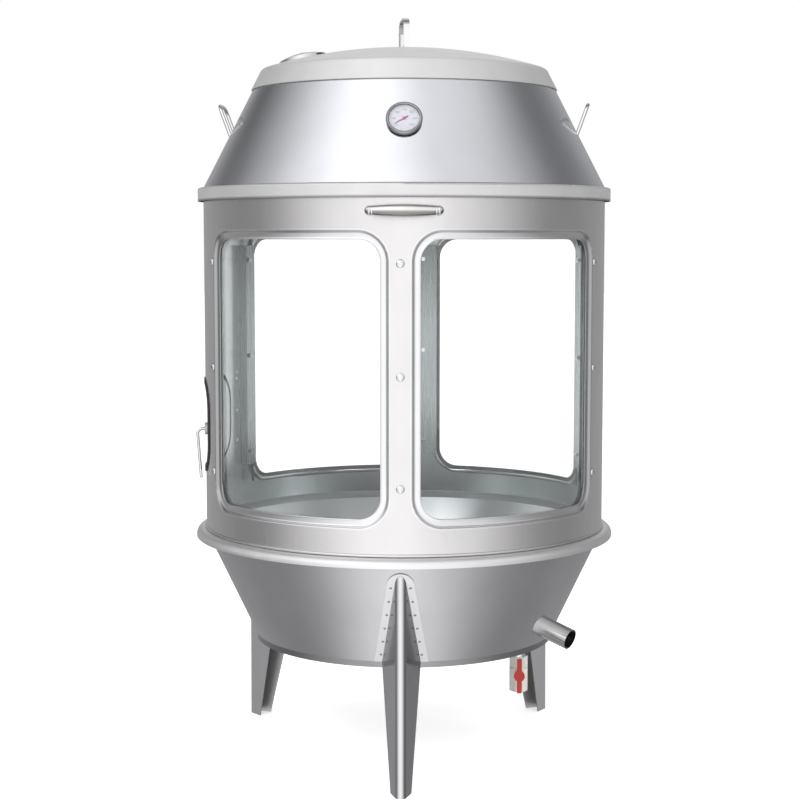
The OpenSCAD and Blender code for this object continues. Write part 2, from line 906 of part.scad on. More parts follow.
bow_level = 48;
bow_z = barrel_z1 - bow_level;
bow_end_r = 7.5;
bow_post_r = 5;
bow_foot_r = 9;
bow_foot_t = 3;
// Radius of the arc that swells the grip from its ends to its middle
function swell_r(chord, rise) = (chord * chord / 4 + rise * rise) / (2 * rise);
// How far the barrel's surface falls back at a distance beside a handle's middle
function sag(x) = barrel_r - sqrt(barrel_r * barrel_r - x * x);
module bow_handle(az) {
    post_x = (bow_l - bow_end_r) / 2;
    arc_r = swell_r(2 * post_x, bow_d / 2 - bow_end_r);
    color("gainsboro")
        difference() {
            rotate([0, 0, az])
                translate([0, -barrel_r - bow_standoff, bow_z]) {
                    rotate([0, 90, 0])
                        rotate_extrude()
                            intersection() {
                                translate([bow_d / 2 - arc_r, 0])
                                    circle(r = arc_r, $fn = 4 * big_fn);
                                translate([0, -post_x])
                                    square([bow_d, 2 * post_x]);
                            }
                    for (side = [-1, 1])
                        translate([side * post_x, 0, 0]) {
                            sphere(r = bow_end_r);
                            rotate([-90, 0, 0]) {
                                cylinder(r = bow_post_r, h = bow_standoff + sag(bow_l));
                                translate([0, 0, bow_standoff + sag(post_x) - bow_foot_t])
                                    cylinder(r = bow_foot_r, h = sag(bow_l));
                            }
                        }
                }
            translate([0, 0, bow_z - bow_d])
                cylinder(r = barrel_r + lay, h = 2 * bow_d, $fn = big_fn);
        }
}
module barrel_handle_front() { bow_handle(0); }
module barrel_handle_rear() { bow_handle(180); }

// Charging hatch

trim_lap = 8;
trim_t = 2.2;
door_gap = 3.5;
door_out_r = barrel_r - door_recess;
door_in_r = door_out_r - barrel_sheet;
module hatch_trim() {
    in_r = barrel_in_r - lay;
    out_r = barrel_r + lay;
    edge = trim_t + lay;
    color("black")
        rolled_frame(hatch_w, hatch_h, hatch_corner_r, [
            [-trim_lap, in_r - trim_t], [edge, in_r - trim_t], [edge, out_r + trim_t],
            [-trim_lap, out_r + trim_t], [-trim_lap, out_r], [lay, out_r], [lay, in_r], [-trim_lap, in_r]
        ], hatch_az, hatch_z);
}

latch_inset = 41;
latch_below = 6;
latch_az = hatch_az + arc_deg(hatch_w / 2 - latch_inset);
latch_z = hatch_z - latch_below;
latch_rod_r = 3;
latch_plate_r = 12;
latch_plate_t = 7;
latch_bend_r = 10;
latch_reach = 24;
latch_drop = 96;
latch_lean = 4;
finger_l = 52;
finger_w = 14;
finger_t = 3;
finger_gap = 2.8;
finger_r = door_in_r - finger_gap - finger_t;
module at_latch(r) {
    on_surface(latch_az, r, latch_z)
        children();
}

module hatch_door() {
    door_corner_r = hatch_corner_r - door_gap;
    color("lightgray")
        difference() {
            intersection() {
                translate([0, 0, hatch_z - hatch_h])
                    cylinder(r = door_out_r, h = 2 * hatch_h, $fn = big_fn);
                rolled_plug(
                    hatch_w - 2 * door_gap, hatch_h - 2 * door_gap, door_corner_r, hatch_az, hatch_z
                );
            }
            translate([0, 0, hatch_z - hatch_h - cut])
                cylinder(r = door_in_r, h = 2 * (hatch_h + cut), $fn = big_fn);
            at_latch(door_in_r - cut)
                cylinder(r = latch_rod_r + loose, h = barrel_sheet + 2 * cut);
        }
}

knuckles = 5;
knuckle_h = hinge_h / knuckles;
knuckle_gap = 0.3;
// Knuckles on the barrel's leaf are the even ones
module knuckle_row(first) {
    for (i = [first:2:knuckles - 1])
        translate([0, 0, hinge_z0 + i * knuckle_h + knuckle_gap])
            children();
}
module hinge_barrels(first) {
    knuckle_row(first)
        translate(at(hinge_az, hinge_r, 0))
            cylinder(r = knuckle_r, h = knuckle_h - 2 * knuckle_gap);
}
module hinge_bore() {
    translate(at(hinge_az, hinge_r, hinge_z0 - cut))
        cylinder(r = hinge_pin_r + running, h = hinge_h + 2 * cut);
}

leaf_h = hinge_h - 2 * knuckle_gap;
// Clears the other leaf's knuckles
module knuckle_notches(first) {
    size = 2 * (knuckle_r + cut);
    knuckle_row(first)
        rotate([0, 0, hinge_az])
            translate([-size / 2, -hinge_r - size / 2, -2 * knuckle_gap])
                cube([size, size, knuckle_h + 2 * knuckle_gap]);
}

module hatch_leaf() {
    leaf_r = barrel_r + seat_gap;
    // The leaf starts within its knuckles' walls
    root_az = hinge_az - arc_deg(knuckle_r / 2);
    end_az = hinge_az - arc_deg(leaf_w);
    color("silver")
        difference() {
            union() {
                difference() {
                    translate([0, 0, hinge_z0 + knuckle_gap])
                        linear_extrude(height = leaf_h)
                            polygon(concat(
                                plan_arc(leaf_r, root_az, end_az),
                                plan_arc(leaf_r + leaf_t, end_az, root_az)
                            ));
                    knuckle_notches(1);
                }
                hinge_barrels(0);
            }
            hinge_bore();
            hinge_rivet_places(barrel_r)
                cylinder(r = hinge_rivet_r + loose, h = 2 * leaf_t + cut);
        }
}

// The door's leaf bridges the trim, steps down inside the opening's corners and lies on the door
bridge_rise = 3;
step_w = 25;
foot_w = 54;
foot_corner_r = hatch_corner_r - trim_t - lay;
foot_step_in = step_w - leaf_t - hinge_offset - trim_t - lay;
foot_fall = foot_corner_r - sqrt(pow(foot_corner_r, 2) - pow(foot_corner_r - foot_step_in, 2));
foot_half_h = hatch_h / 2 - trim_t - lay - foot_fall - door_gap;
module hatch_door_leaf() {
    bridge_r = barrel_r + bridge_rise;
    foot_r = door_out_r + seat_gap;
    // The leaf starts within its knuckles' walls
    root_az = hinge_az + arc_deg((hinge_pin_r + knuckle_r) / 2);
    step_az = hinge_az + arc_deg(step_w);
    wall_az = step_az - arc_deg(leaf_t);
    foot_az = hinge_az + arc_deg(foot_w);
    color("silver")
        difference() {
            union() {
                difference() {
                    translate([0, 0, hinge_z0 + knuckle_gap])
                        linear_extrude(height = leaf_h)
                            polygon(concat(
                                plan_arc(bridge_r, root_az, step_az),
                                plan_arc(bridge_r + leaf_t, step_az, root_az)
                            ));
                    knuckle_notches(0);
                }
                translate([0, 0, hatch_z - foot_half_h])
                    linear_extrude(height = 2 * foot_half_h)
                        polygon(concat(
                            plan_arc(foot_r, wall_az, foot_az),
                            plan_arc(foot_r + leaf_t, foot_az, step_az),
                            plan_arc(bridge_r + leaf_t / 2, step_az, wall_az)
                        ));
                hinge_barrels(1);
            }
            hinge_bore();
        }
}

module hatch_pin() {
    color("gray")
        translate(at(hinge_az, hinge_r, hinge_z0 - cut))
            cylinder(r = hinge_pin_r, h = hinge_h + 2 * cut);
}

hinge_rivet_head_h = 1.6;
module hatch_rivets() {
    out_r = barrel_r + seat_gap + leaf_t + lay;
    in_r = barrel_in_r - lay;
    color("darkgray")
        hinge_rivet_places(0) {
            translate([0, 0, out_r])
                dome(hinge_rivet_head_r, hinge_rivet_head_h);
            translate([0, 0, in_r])
                mirror([0, 0, 1])
                    dome(hinge_rivet_head_r, hinge_rivet_head_h);
            translate([0, 0, in_r - lay])
                cylinder(r = hinge_rivet_r, h = out_r - in_r + 2 * lay);
        }
}

module latch_plate() {
    color("silver")
        at_latch(door_out_r + seat_gap)
            difference() {
                cylinder(r = latch_plate_r, h = latch_plate_t);
                translate([0, 0, -cut])
                    cylinder(r = latch_rod_r + running, h = latch_plate_t + 2 * cut);
            }
}

module latch_handle() {
    // The rod comes out of the door, bends down and hangs beside the barrel
    neck_r = barrel_r + latch_reach - 2 * latch_bend_r + latch_rod_r;
    inner_r = finger_r - lay;
    color("lightgray")
        at_latch(0) {
            translate([0, 0, inner_r])
                cylinder(r = latch_rod_r, h = neck_r - inner_r);
            translate([0, -latch_bend_r, neck_r])
                rotate([90, 0, 90])
                    rotate_extrude(angle = 90)
                        translate([latch_bend_r, 0])
                            circle(r = latch_rod_r);
            translate([0, -latch_bend_r, neck_r + latch_bend_r])
                rotate([90 + latch_lean, 0, 0]) {
                    cylinder(r = latch_rod_r, h = latch_drop - latch_bend_r);
                    sphere(r = latch_rod_r);
                    translate([0, 0, latch_drop - latch_bend_r])
                        sphere(r = latch_rod_r);
                }
        }
}

module latch_finger() {
    color("gray")
        at_latch(finger_r)
            difference() {
                union() {
                    cylinder(d = finger_w, h = finger_t);
                    translate([-finger_w / 2, 0, 0])
                        cube([finger_w, finger_l, finger_t]);
                }
                translate([0, 0, -cut])
                    cylinder(r = latch_rod_r + running, h = finger_t + 2 * cut);
            }
}

// Hanging ring

ring_r = 270;
ring_rod_r = 5;
cross_rod_r = 4;
arm_h = 5;
arm_w = 20;
arm_tip_h = 12;
arm_tip_t = 4;
arm_drop = 46;
arm_tip_gap = 7;
arm_z1 = barrel_z1 - arm_drop;
arm_in_r = ring_r - ring_rod_r - arm_tip_gap;
bracket_w = 30;
bracket_h = 26;
bracket_t = 3;
bracket_az = [0, 180, -94, 86];
module ring_brackets() {
    plate_out = barrel_in_r - 2 * seat_gap;
    color("silver")
        for (az = bracket_az)
            rotate([0, 0, az]) {
                translate([-bracket_w / 2, -plate_out, arm_z1 - bracket_h])
                    cube([bracket_w, bracket_t, bracket_h]);
                translate([-arm_w / 2, -plate_out, arm_z1 - arm_h])
                    cube([arm_w, plate_out - arm_in_r, arm_h]);
                translate([-arm_w / 2, -arm_in_r - arm_tip_t, arm_z1 - arm_h])
                    cube([arm_w, arm_tip_t, arm_h + arm_tip_h]);
            }
}

module hanging_ring() {
    color("silver")
        translate([0, 0, arm_z1 + ring_rod_r + seat_gap]) {
            rotate_extrude($fn = big_fn)
                translate([ring_r, 0])
                    circle(r = ring_rod_r);
            for (turn = [45, 135])
                rotate([0, 90, turn])
                    cylinder(r = cross_rod_r, h = 2 * ring_r, center = true);
        }
}

// Hood

hood_lip = cone_sheet * sin(hood_slope) + lay;
hood_flange_w = 15;
hood_spigot_h = 21;
ring_corner_r = 4;
gauge_drop = 78;
gauge_z = hood_z1 - gauge_drop;
gauge_boss_r = 6;
module at_gauge() {
    on_surface(0, hood_r(gauge_z), gauge_z, hood_slope)
        children();
}

module hood_shell() {
    mouth_r = hood_r1 - hood_flange_w;
    color("lightgray")
        difference() {
            turned_sheet([
                [hood_r(hood_z0 + hood_lip), hood_z0 + hood_lip], [hood_r1, hood_z1],
                [mouth_r, hood_z1], [mouth_r, hood_z1 + hood_spigot_h]
            ], cone_sheet);
            at_gauge()
                translate([0, 0, -2 * cone_sheet])
                    cylinder(r = gauge_boss_r + loose, h = 4 * cone_sheet);
        }
}

// A turned block with its outer top corner rounded
module rounded_block(r0, r1, z0, z1, corner_r) {
    translate([r0, z0])
        square([r1 - r0 - corner_r, z1 - z0]);
    translate([r0, z0])
        square([r1 - r0, z1 - z0 - corner_r]);
    translate([r1 - corner_r, z1 - corner_r])
        circle(r = corner_r);
}
module hood_ring() {
    ring_out_r = barrel_r + hood_ring_overhang;
    ring_z0 = hood_z0 - hood_ring_h;
    color("gainsboro")
        rotate_extrude($fn = big_fn)
            difference() {
                rounded_block(spigot_r, ring_out_r, ring_z0, hood_z0, ring_corner_r);
                rounded_block(spigot_r + cone_sheet, ring_out_r - cone_sheet, ring_z0 - cut,
                    hood_z0 - cone_sheet, ring_corner_r - cone_sheet);
                translate([spigot_r - cut, ring_z0 - cut])
                    square([2 * cut + cone_sheet, ring_corner_r + cut]);
            }
}

rod_bend_r = 20;
rod_tilt = 20;
rod_root = 20;
rod_drop = 84;
rod_z = hood_z1 - rod_drop;
left_rod_az = -91.5;
right_rod_az = 85.5;
module rod_handle(az) {
    rod_r = rod_d / 2;
    leg_x = rod_handle_w / 2;
    color("gainsboro")
        difference() {
            on_surface(az, hood_r(rod_z), rod_z, -rod_tilt) {
                for (side = [-1, 1]) {
                    translate([side * leg_x, -rod_root, 0])
                        rotate([-90, 0, 0])
                            cylinder(r = rod_r, h = rod_root + rod_handle_h - rod_bend_r);
                    translate([side * (leg_x - rod_bend_r), rod_handle_h - rod_bend_r, 0])
                        rotate([0, 0, side > 0 ? 0 : 90])
                            rotate_extrude(angle = 90)
                                translate([rod_bend_r, 0])
                                    circle(r = rod_r);
                }
                translate([0, rod_handle_h, 0])
                    rotate([0, 90, 0])
                        cylinder(r = rod_r, h = rod_handle_w - 2 * rod_bend_r, center = true);
            }
            hood_cone(lay);
        }
}
module hood_cone(grow) {
    shift = grow / cos(hood_slope);
    translate([0, 0, hood_z0])
        cylinder(r1 = barrel_r + shift, r2 = hood_r1 + shift, h = hood_h, $fn = big_fn);
}
module hood_handle_left() { rod_handle(left_rod_az); }
module hood_handle_right() { rod_handle(right_rod_az); }

// Thermometer

gauge_stand = 0.3;
case_r = 30;
case_wall = 1.2;
case_depth = 9;
bezel_h = 5.5;
bezel_lip = 5.5;
dial_t = 0.8;
dial_level = 3;
lens_t = 1.5;
lens_level = 6.2;
// Each seat inside the case is this much narrower than the one in front of it
case_step = 0.8;
lens_seat_r = case_r - case_wall;
dial_seat_r = lens_seat_r - case_step;
module thermometer_case() {
    color("dimgray")
        at_gauge()
            translate([0, 0, gauge_stand])
                difference() {
                    union() {
                        cylinder(r = case_r, h = case_depth);
                        translate([0, 0, case_depth - bezel_h])
                            cylinder(d = bezel_d, h = bezel_h);
                    }
                    translate([0, 0, -cut])
                        cylinder(r = gauge_boss_r + running, h = case_wall + 2 * cut);
                    translate([0, 0, case_wall])
                        cylinder(r = dial_seat_r - case_step, h = dial_level);
                    translate([0, 0, dial_level])
                        cylinder(r = dial_seat_r, h = lens_level - dial_level + lay);
                    translate([0, 0, lens_level])
                        cylinder(r = lens_seat_r, h = case_depth - case_wall - lens_level);
                    translate([0, 0, lens_level])
                        cylinder(r = bezel_d / 2 - bezel_lip, h = case_depth);
                }
}

module thermometer_dial() {
    color("white")
        at_gauge()
            translate([0, 0, gauge_stand + dial_level])
                difference() {
                    cylinder(r = dial_seat_r - lay, h = dial_t);
                    translate([0, 0, -cut])
                        cylinder(r = pointer_pin_r + loose, h = dial_t + 2 * cut);
                }
}

module thermometer_lens() {
    color("white", 0.3)
        at_gauge()
            translate([0, 0, gauge_stand + lens_level])
                cylinder(r = lens_seat_r - lay, h = lens_t);
}

probe_r = 4;
pointer_pin_r = 0.8;
module thermometer_stem() {
    boss_l = 16;
    color("silver")
        at_gauge() {
            translate([0, 0, -boss_l])
                difference() {
                    cylinder(r = gauge_boss_r, h = boss_l + gauge_stand + case_wall);
                    translate([0, 0, boss_l])
                        cylinder(r = pointer_pin_r + loose, h = boss_l);
                }
            translate([0, 0, -probe_l])
                cylinder(r = probe_r, h = probe_l - boss_l + lay);
        }
}

module thermometer_nut() {
    nut_l = 6;
    across = 19;
    color("silver")
        at_gauge()
            translate([0, 0, -cone_sheet - seat_gap - nut_l])
                difference() {
                    hex(across, nut_l);
                    translate([0, 0, -cut])
                        cylinder(r = gauge_boss_r + running, h = nut_l + 2 * cut);
                }
}

pointer_turn = 237.5;
pointer_l = 21;
pointer_tail = 8;
pointer_w = 2.4;
pointer_t = 0.6;
pointer_hub_r = 2.6;
pointer_rise = 0.6;
module thermometer_pointer() {
    pin_l = dial_level + dial_t + pointer_rise;
    color("firebrick")
        at_gauge()
            translate([0, 0, gauge_stand + dial_level + dial_t + pointer_rise]) {
                cylinder(r = pointer_hub_r, h = 2 * pointer_t);
                translate([0, 0, -pin_l])
                    cylinder(r = pointer_pin_r, h = pin_l);
                rotate([0, 0, -pointer_turn])
                    linear_extrude(height = pointer_t)
                        polygon([
                            [-pointer_w / 2, -pointer_tail], [pointer_w / 2, -pointer_tail],
                            [pointer_w / 2, 0], [pointer_w / 8, pointer_l], [-pointer_w / 8, pointer_l],
                            [-pointer_w / 2, 0]
                        ]);
            }
}

// Lid

lid_overhang = 2.5;
lid_r = hood_r1 + lid_overhang;
lid_hem_w = 7.5;
lid_fillet_r = 12;
lid_z1 = lid_z0 + lid_h;
lid_cz = lid_z1 - dome_r;
lid_foot = [lid_r, lid_z0 + cone_sheet];
// The skirt leans in with the hood's slope and runs into the dome over a fillet
skirt_up = [-sin(hood_slope), cos(hood_slope)];
skirt_in = [-cos(hood_slope), -sin(hood_slope)];
fillet_from = lid_foot + lid_fillet_r * skirt_in - [0, lid_cz];
fillet_along = fillet_from * skirt_up;
fillet_reach = dome_r - lid_fillet_r;
fillet_up = sqrt(pow(fillet_along, 2) - fillet_from * fillet_from + pow(fillet_reach, 2)) - fillet_along;
fillet_c = lid_foot + lid_fillet_r * skirt_in + fillet_up * skirt_up;
knuckle_deg = atan2(fillet_c[1] - lid_cz, fillet_c[0]);
fillet_n = 6;
dome_n = 16;
function polar(c, r, a) = c + r * [cos(a), sin(a)];
function lid_top(r) = lid_cz + sqrt(dome_r * dome_r - r * r);

vent_az = -105;
vent_r = 210;
vent_tilt = 90 - asin(vent_r / dome_r);
vent_throat_r = 32;
module at_vent() {
    on_surface(vent_az, vent_r, lid_top(vent_r), vent_tilt)
        children();
}

module lid_shell() {
    outline = concat(
        [lid_foot],
        [for (i = [0:fillet_n])
            polar(fillet_c, lid_fillet_r, hood_slope + (knuckle_deg - hood_slope) * i / fillet_n)],
        [for (i = [1:dome_n]) polar([0, lid_cz], dome_r, knuckle_deg + (90 - knuckle_deg) * i / dome_n)]
    );
    color("gainsboro")
        difference() {
            union() {
                turned_sheet(outline, cone_sheet);
                translate([0, 0, lid_z0])
                    difference() {
                        cylinder(r = lid_r, h = cone_sheet, $fn = big_fn);
                        translate([0, 0, -cut])
                            cylinder(r = lid_r - lid_hem_w, h = cone_sheet + 2 * cut, $fn = big_fn);
                    }
            }
            at_vent()
                translate([0, 0, -2 * cone_sheet])
                    cylinder(r = vent_throat_r, h = 4 * cone_sheet);
        }
}

strap_w = 12;
strap_t = 4;
strap_bend_r = 26;
strap_foot_l = 22;
strap_turn = 4.9;
// The strap handle's side view, with its feet on the line y = 0
module strap_outline(grow) {
    w = strap_handle_l - 2 * grow;
    bend = strap_bend_r - grow;
    h = strap_handle_h - grow;
    translate([-w / 2, -strap_handle_h])
        square([w, strap_handle_h + h - bend]);
    translate([bend - w / 2, 0])
        square([w - 2 * bend, h]);
    for (side = [-1, 1])
        translate([side * (w / 2 - bend), h - bend])
            circle(r = bend);
}
module lid_dome(grow) {
    translate([0, 0, lid_cz])
        sphere(r = dome_r + grow, $fn = 4 * big_fn);
}
module lid_handle() {
    color("silver")
        difference() {
            translate([0, 0, lid_z1])
                rotate([90, 0, 90 + strap_turn])
                    translate([0, 0, -strap_w / 2])
                        linear_extrude(height = strap_w) {
                            difference() {
                                strap_outline(0);
                                strap_outline(strap_t);
                            }
                            for (side = [-1, 1])
                                translate([side * strap_handle_l / 2 - strap_foot_l / 2, -strap_t])
                                    square([strap_foot_l, strap_t + strap_t / 2]);
                        }
            lid_dome_cut();
        }
}
module lid_dome_cut() {
    // A short slice of the dome's ball is enough here
    intersection() {
        lid_dome(lay);
        translate([0, 0, lid_z0])
            cylinder(r = strap_handle_l, h = lid_h + strap_handle_h);
    }
}

vent_base_t = 3;
vent_spoke_w = 8;
vent_pin_r = 3;
vent_guard_r = 41;
vent_guard_h = 9;
vent_guard_span = 200;
vent_wall = 1.5;
cap_side_h = 9;
cap_h = 18;
cap_slot_span = 70;
vent_base_lip = 3;
vent_base_r = vent_d / 2 + vent_base_lip;
module vent_base() {
    color("gainsboro")
        at_vent()
            union() {
                translate([0, 0, lay])
                    difference() {
                        cylinder(r = vent_base_r, h = vent_base_t - lay, $fn = 2 * $fn);
                        translate([0, 0, -cut])
                            cylinder(r = vent_throat_r - vent_wall, h = vent_base_t + cut);
                    }
                for (turn = [0, 90])
                    rotate([0, 0, turn])
                        translate([-vent_throat_r, -vent_spoke_w / 2, vent_base_t / 2])
                            cube([2 * vent_throat_r, vent_spoke_w, vent_base_t / 2]);
                // Pivot stud
                cylinder(r = vent_pin_r, h = vent_base_t + cap_h + 2 * vent_wall);
                // Guard that the cap's slot turns behind
                rotate([0, 0, 90 - vent_guard_span / 2 + 180])
                    rotate_extrude(angle = vent_guard_span)
                        translate([vent_guard_r - vent_wall, vent_base_t - vent_wall])
                            square([vent_wall, vent_guard_h]);
            }
}

module vent_cap() {
    cap_r = vent_d / 2;
    rise = cap_h - cap_side_h;
    ball_r = (cap_r * cap_r + rise * rise) / (2 * rise);
    color("silver")
        at_vent()
            translate([0, 0, vent_base_t + seat_gap])
                difference() {
                    union() {
                        cylinder(r = cap_r, h = cap_side_h, $fn = 2 * $fn);
                        translate([0, 0, cap_side_h])
                            dome(cap_r, rise, $fn = 2 * $fn);
                    }
                    translate([0, 0, -cut])
                        cylinder(r = cap_r - vent_wall, h = cap_side_h + cut, $fn = 2 * $fn);
                    intersection() {
                        translate([0, 0, cap_h - ball_r])
                            sphere(r = ball_r - vent_wall, $fn = 2 * $fn);
                        translate([0, 0, cap_side_h - vent_wall])
                            cylinder(r = cap_r - vent_wall, h = cap_h, $fn = 2 * $fn);
                    }
                    translate([0, 0, -cut])
                        cylinder(r = vent_pin_r + running, h = 2 * cap_h);
                    rotate([0, 0, 90 - cap_slot_span / 2])
                        rotate_extrude(angle = cap_slot_span)
                            translate([cap_r - 2 * vent_wall, vent_wall])
                                square([2 * vent_wall + cut, cap_side_h - 2 * vent_wall]);
                }
}

bowl_shell();
bowl_floor();
bowl_rim();
leg_front();
leg_left();
leg_right();
leg_plates();
leg_rivets();
oil_outlet_pipe();
drain_nipple();
drain_locknuts();
valve_body();
valve_seats();
valve_ball();
valve_stem();
valve_handle();
charcoal_basket();
basket_grate();
barrel_shell();
window_frame_front_left();
window_frame_front_right();
window_frame_rear_left();
window_frame_rear_right();
window_glass_front_left();
window_glass_front_right();
window_glass_rear_left();
window_glass_rear_right();
window_seals();
mullion_strips();
pillar_strips();
window_screws();
window_nuts();
barrel_handle_front();
barrel_handle_rear();
hatch_trim();
hatch_leaf();
hatch_rivets();
ring_brackets();
hanging_ring();
hatch_door();
hatch_door_leaf();
hatch_pin();
latch_plate();
latch_handle();
latch_finger();
hood_shell();
hood_ring();
hood_handle_left();
hood_handle_right();
thermometer_case();
thermometer_dial();
thermometer_lens();
thermometer_stem();
thermometer_nut();
thermometer_pointer();
lid_shell();
lid_handle();
vent_base();
vent_cap();
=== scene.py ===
import math

import bmesh
import bpy
from mathutils import Matrix, Vector


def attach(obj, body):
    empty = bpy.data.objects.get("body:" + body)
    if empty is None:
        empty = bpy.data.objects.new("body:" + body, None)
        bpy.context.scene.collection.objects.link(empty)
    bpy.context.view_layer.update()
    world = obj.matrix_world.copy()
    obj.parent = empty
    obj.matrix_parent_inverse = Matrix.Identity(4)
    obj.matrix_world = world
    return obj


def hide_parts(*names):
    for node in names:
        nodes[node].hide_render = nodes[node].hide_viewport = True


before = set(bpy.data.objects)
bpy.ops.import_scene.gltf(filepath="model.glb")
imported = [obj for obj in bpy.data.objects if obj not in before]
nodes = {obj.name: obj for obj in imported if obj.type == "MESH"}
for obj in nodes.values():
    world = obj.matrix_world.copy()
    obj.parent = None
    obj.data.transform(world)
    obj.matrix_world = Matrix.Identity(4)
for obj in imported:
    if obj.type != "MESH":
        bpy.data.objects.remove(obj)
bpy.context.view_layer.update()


# Camera.
# The photograph is taken from the front at about waist height, from 3.5 m away, with the lens
# tilted down a little.
def add_object(name, data):
    """An object with the given data, linked to the scene."""
    thing = bpy.data.objects.new(name, data)
    bpy.context.scene.collection.objects.link(thing)
    return thing


camera_place = (0, -3.485, 1.025)
camera_tilt = 5.3
camera_data = bpy.data.cameras.new("camera")
camera_data.sensor_width = 36
camera_data.lens = 77.7
camera_data.shift_x = -0.00525
camera = add_object("camera", camera_data)
camera.location = camera_place
camera.rotation_euler = (math.radians(90 - camera_tilt), 0, 0)
bpy.context.scene.camera = camera
bpy.context.scene.view_settings.view_transform = "Standard"


# Studio.
# A white cyclorama over a pale floor. The camera sees it white, while the polished steel mirrors
# grey walls and a grey ceiling, which give it its dark and light bands.
def feed(tree, node, inputs):
    """Feeds a node's inputs, by name or number, with other nodes' outputs or with plain values."""
    for socket, value in inputs.items():
        if isinstance(value, bpy.types.NodeSocket):
            tree.links.new(value, node.inputs[socket])
        else:
            node.inputs[socket].default_value = value
    return node


def new_node(tree, kind, inputs):
    """A new node with its inputs fed."""
    return feed(tree, tree.nodes.new(kind), inputs)


def math_node(tree, operation, *values):
    """The output of a math node on numbers."""
    node = tree.nodes.new("ShaderNodeMath")
    node.operation = operation
    return feed(tree, node, dict(enumerate(values))).outputs[0]


def map_range(tree, source, start, end, low=0.0, high=1.0, interpolation="LINEAR"):
    """Maps the range from start to end on to the range from low to high."""
    node = new_node(tree, "ShaderNodeMapRange", {
        0: source, "From Min": start, "From Max": end, "To Min": low, "To Max": high})
    node.interpolation_type = interpolation
    return node.outputs[0]


def split(tree, vector):
    """The X, Y and Z outputs of a vector."""
    return new_node(tree, "ShaderNodeSeparateXYZ", {0: vector}).outputs


def grey_ramp(tree, source, stops, tint=(1, 1, 1), interpolation="LINEAR"):
    """Greys by (place, brightness) stops in rising order, times a tint."""
    node = new_node(tree, "ShaderNodeValToRGB", {0: source})
    node.color_ramp.interpolation = interpolation
    elements = node.color_ramp.elements
    for i, (place, grey) in enumerate(stops):
        stop = elements[i] if i < 2 else elements.new(place)
        stop.position = place
        stop.color = (*(grey * part for part in tint), 1)
    return node.outputs[0]


def mix_colours(tree, share, first, second, blend_type="MIX"):
    """Blends two colours; a Mix node's colours are its inputs 6 and 7 and its output 2."""
    node = tree.nodes.new("ShaderNodeMix")
    node.data_type = "RGBA"
    node.blend_type = blend_type
    return feed(tree, node, {0: share, 6: first, 7: second}).outputs[2]


def mix_shaders(tree, share, first, second):
    """The first shader where the share is 0, and the second where it is 1."""
    return new_node(tree, "ShaderNodeMixShader", {0: share, 1: first, 2: second}).outputs[0]


def either_ray(tree, first, second):
    """1 for rays of either of two kinds, and 0 for all others."""
    rays = tree.nodes.new("ShaderNodeLightPath").outputs
    return math_node(tree, "MAXIMUM", rays[first], rays[second])


world = bpy.data.worlds.new("studio")
bpy.context.scene.world = world
world.use_nodes = True
sky = world.node_tree
sky.nodes.clear()
direction = split(sky, sky.nodes.new("ShaderNodeTexCoord").outputs["Generated"])
towards_front = math_node(sky, "MULTIPLY", direction["Y"], -1)
azimuth = math_node(sky, "ARCTAN2", direction["X"], towards_front)
azimuth_share = map_range(sky, azimuth, -math.pi, math.pi)
# A ramp's colours end at 1, so they hold half the brightness, here with a touch of blue
studio_strength = 2
half_tint = (0.495, 0.495, 0.51)


def round_studio(stops):
    """Greys round the studio, by (azimuth from the front in degrees, brightness up to 2)."""
    places = [((degrees + 180) / 360, grey) for degrees, grey in stops]
    return grey_ramp(sky, azimuth_share, places, half_tint, "B_SPLINE")


walls = round_studio([
    (-180, 0.40), (-160, 0.42), (-128, 0.38), (-105, 0.28), (-84, 0.28), (-66, 0.60), (-42, 1.08),
    (-18, 1.42), (8, 1.42), (24, 1.12), (44, 0.94), (64, 0.53), (84, 0.31), (106, 0.30),
    (130, 0.38), (160, 0.40), (180, 0.40)])
ceiling = round_studio([
    (-180, 0.95), (-160, 0.36), (-146, 0.10), (-130, 0.18), (-112, 0.42), (-92, 0.80),
    (-72, 1.25), (-50, 1.60), (-20, 1.65), (2, 1.45), (22, 1.08), (52, 1.00), (76, 0.78),
    (94, 0.46), (112, 0.18), (132, 0.26), (154, 0.40), (180, 0.95)])
wall_top, ceiling_start = 0.08, 0.48
upwards = map_range(sky, direction["Z"], wall_top, ceiling_start, interpolation="SMOOTHSTEP")
room_grey = mix_colours(sky, upwards, walls, ceiling)
# The studio is dimmer straight above the oven, and a touch dimmer low down
from_nadir = map_range(sky, direction["Z"], -1, 1)
ends = grey_ramp(sky, from_nadir, [
    (0.0, 1.0), (0.06, 0.96), (0.10, 1.0), (0.93, 1.0), (0.965, 0.55), (1.0, 0.45)])
room = new_node(sky, "ShaderNodeBackground", {
    "Color": mix_colours(sky, 1, room_grey, ends, "MULTIPLY"), "Strength": studio_strength})
# Seen through eight faces of glass the backdrop stays as white as beside the oven
glass_gain = 0.3
through_glass = sky.nodes.new("ShaderNodeLightPath").outputs["Is Transmission Ray"]
backdrop = new_node(sky, "ShaderNodeBackground", {
    "Color": (1, 1, 1, 1), "Strength": math_node(sky, "MULTIPLY_ADD", through_glass, glass_gain, 1)})
in_sight = either_ray(sky, "Is Camera Ray", "Is Transmission Ray")
new_node(sky, "ShaderNodeOutputWorld", {
    "Surface": mix_shaders(sky, in_sight, room.outputs[0], backdrop.outputs[0])})


def area_light(name, place, aim, size, power):
    """A rectangular lamp that lights the oven and has no mirror image in it."""
    data = bpy.data.lights.new(name, "AREA")
    data.shape = "RECTANGLE"
    data.size, data.size_y = size
    data.energy = power
    lamp = add_object(name, data)
    lamp.location = place
    lamp.visible_glossy = False
    lamp.rotation_euler = (Vector(aim) - Vector(place)).to_track_quat("-Z", "Y").to_euler()


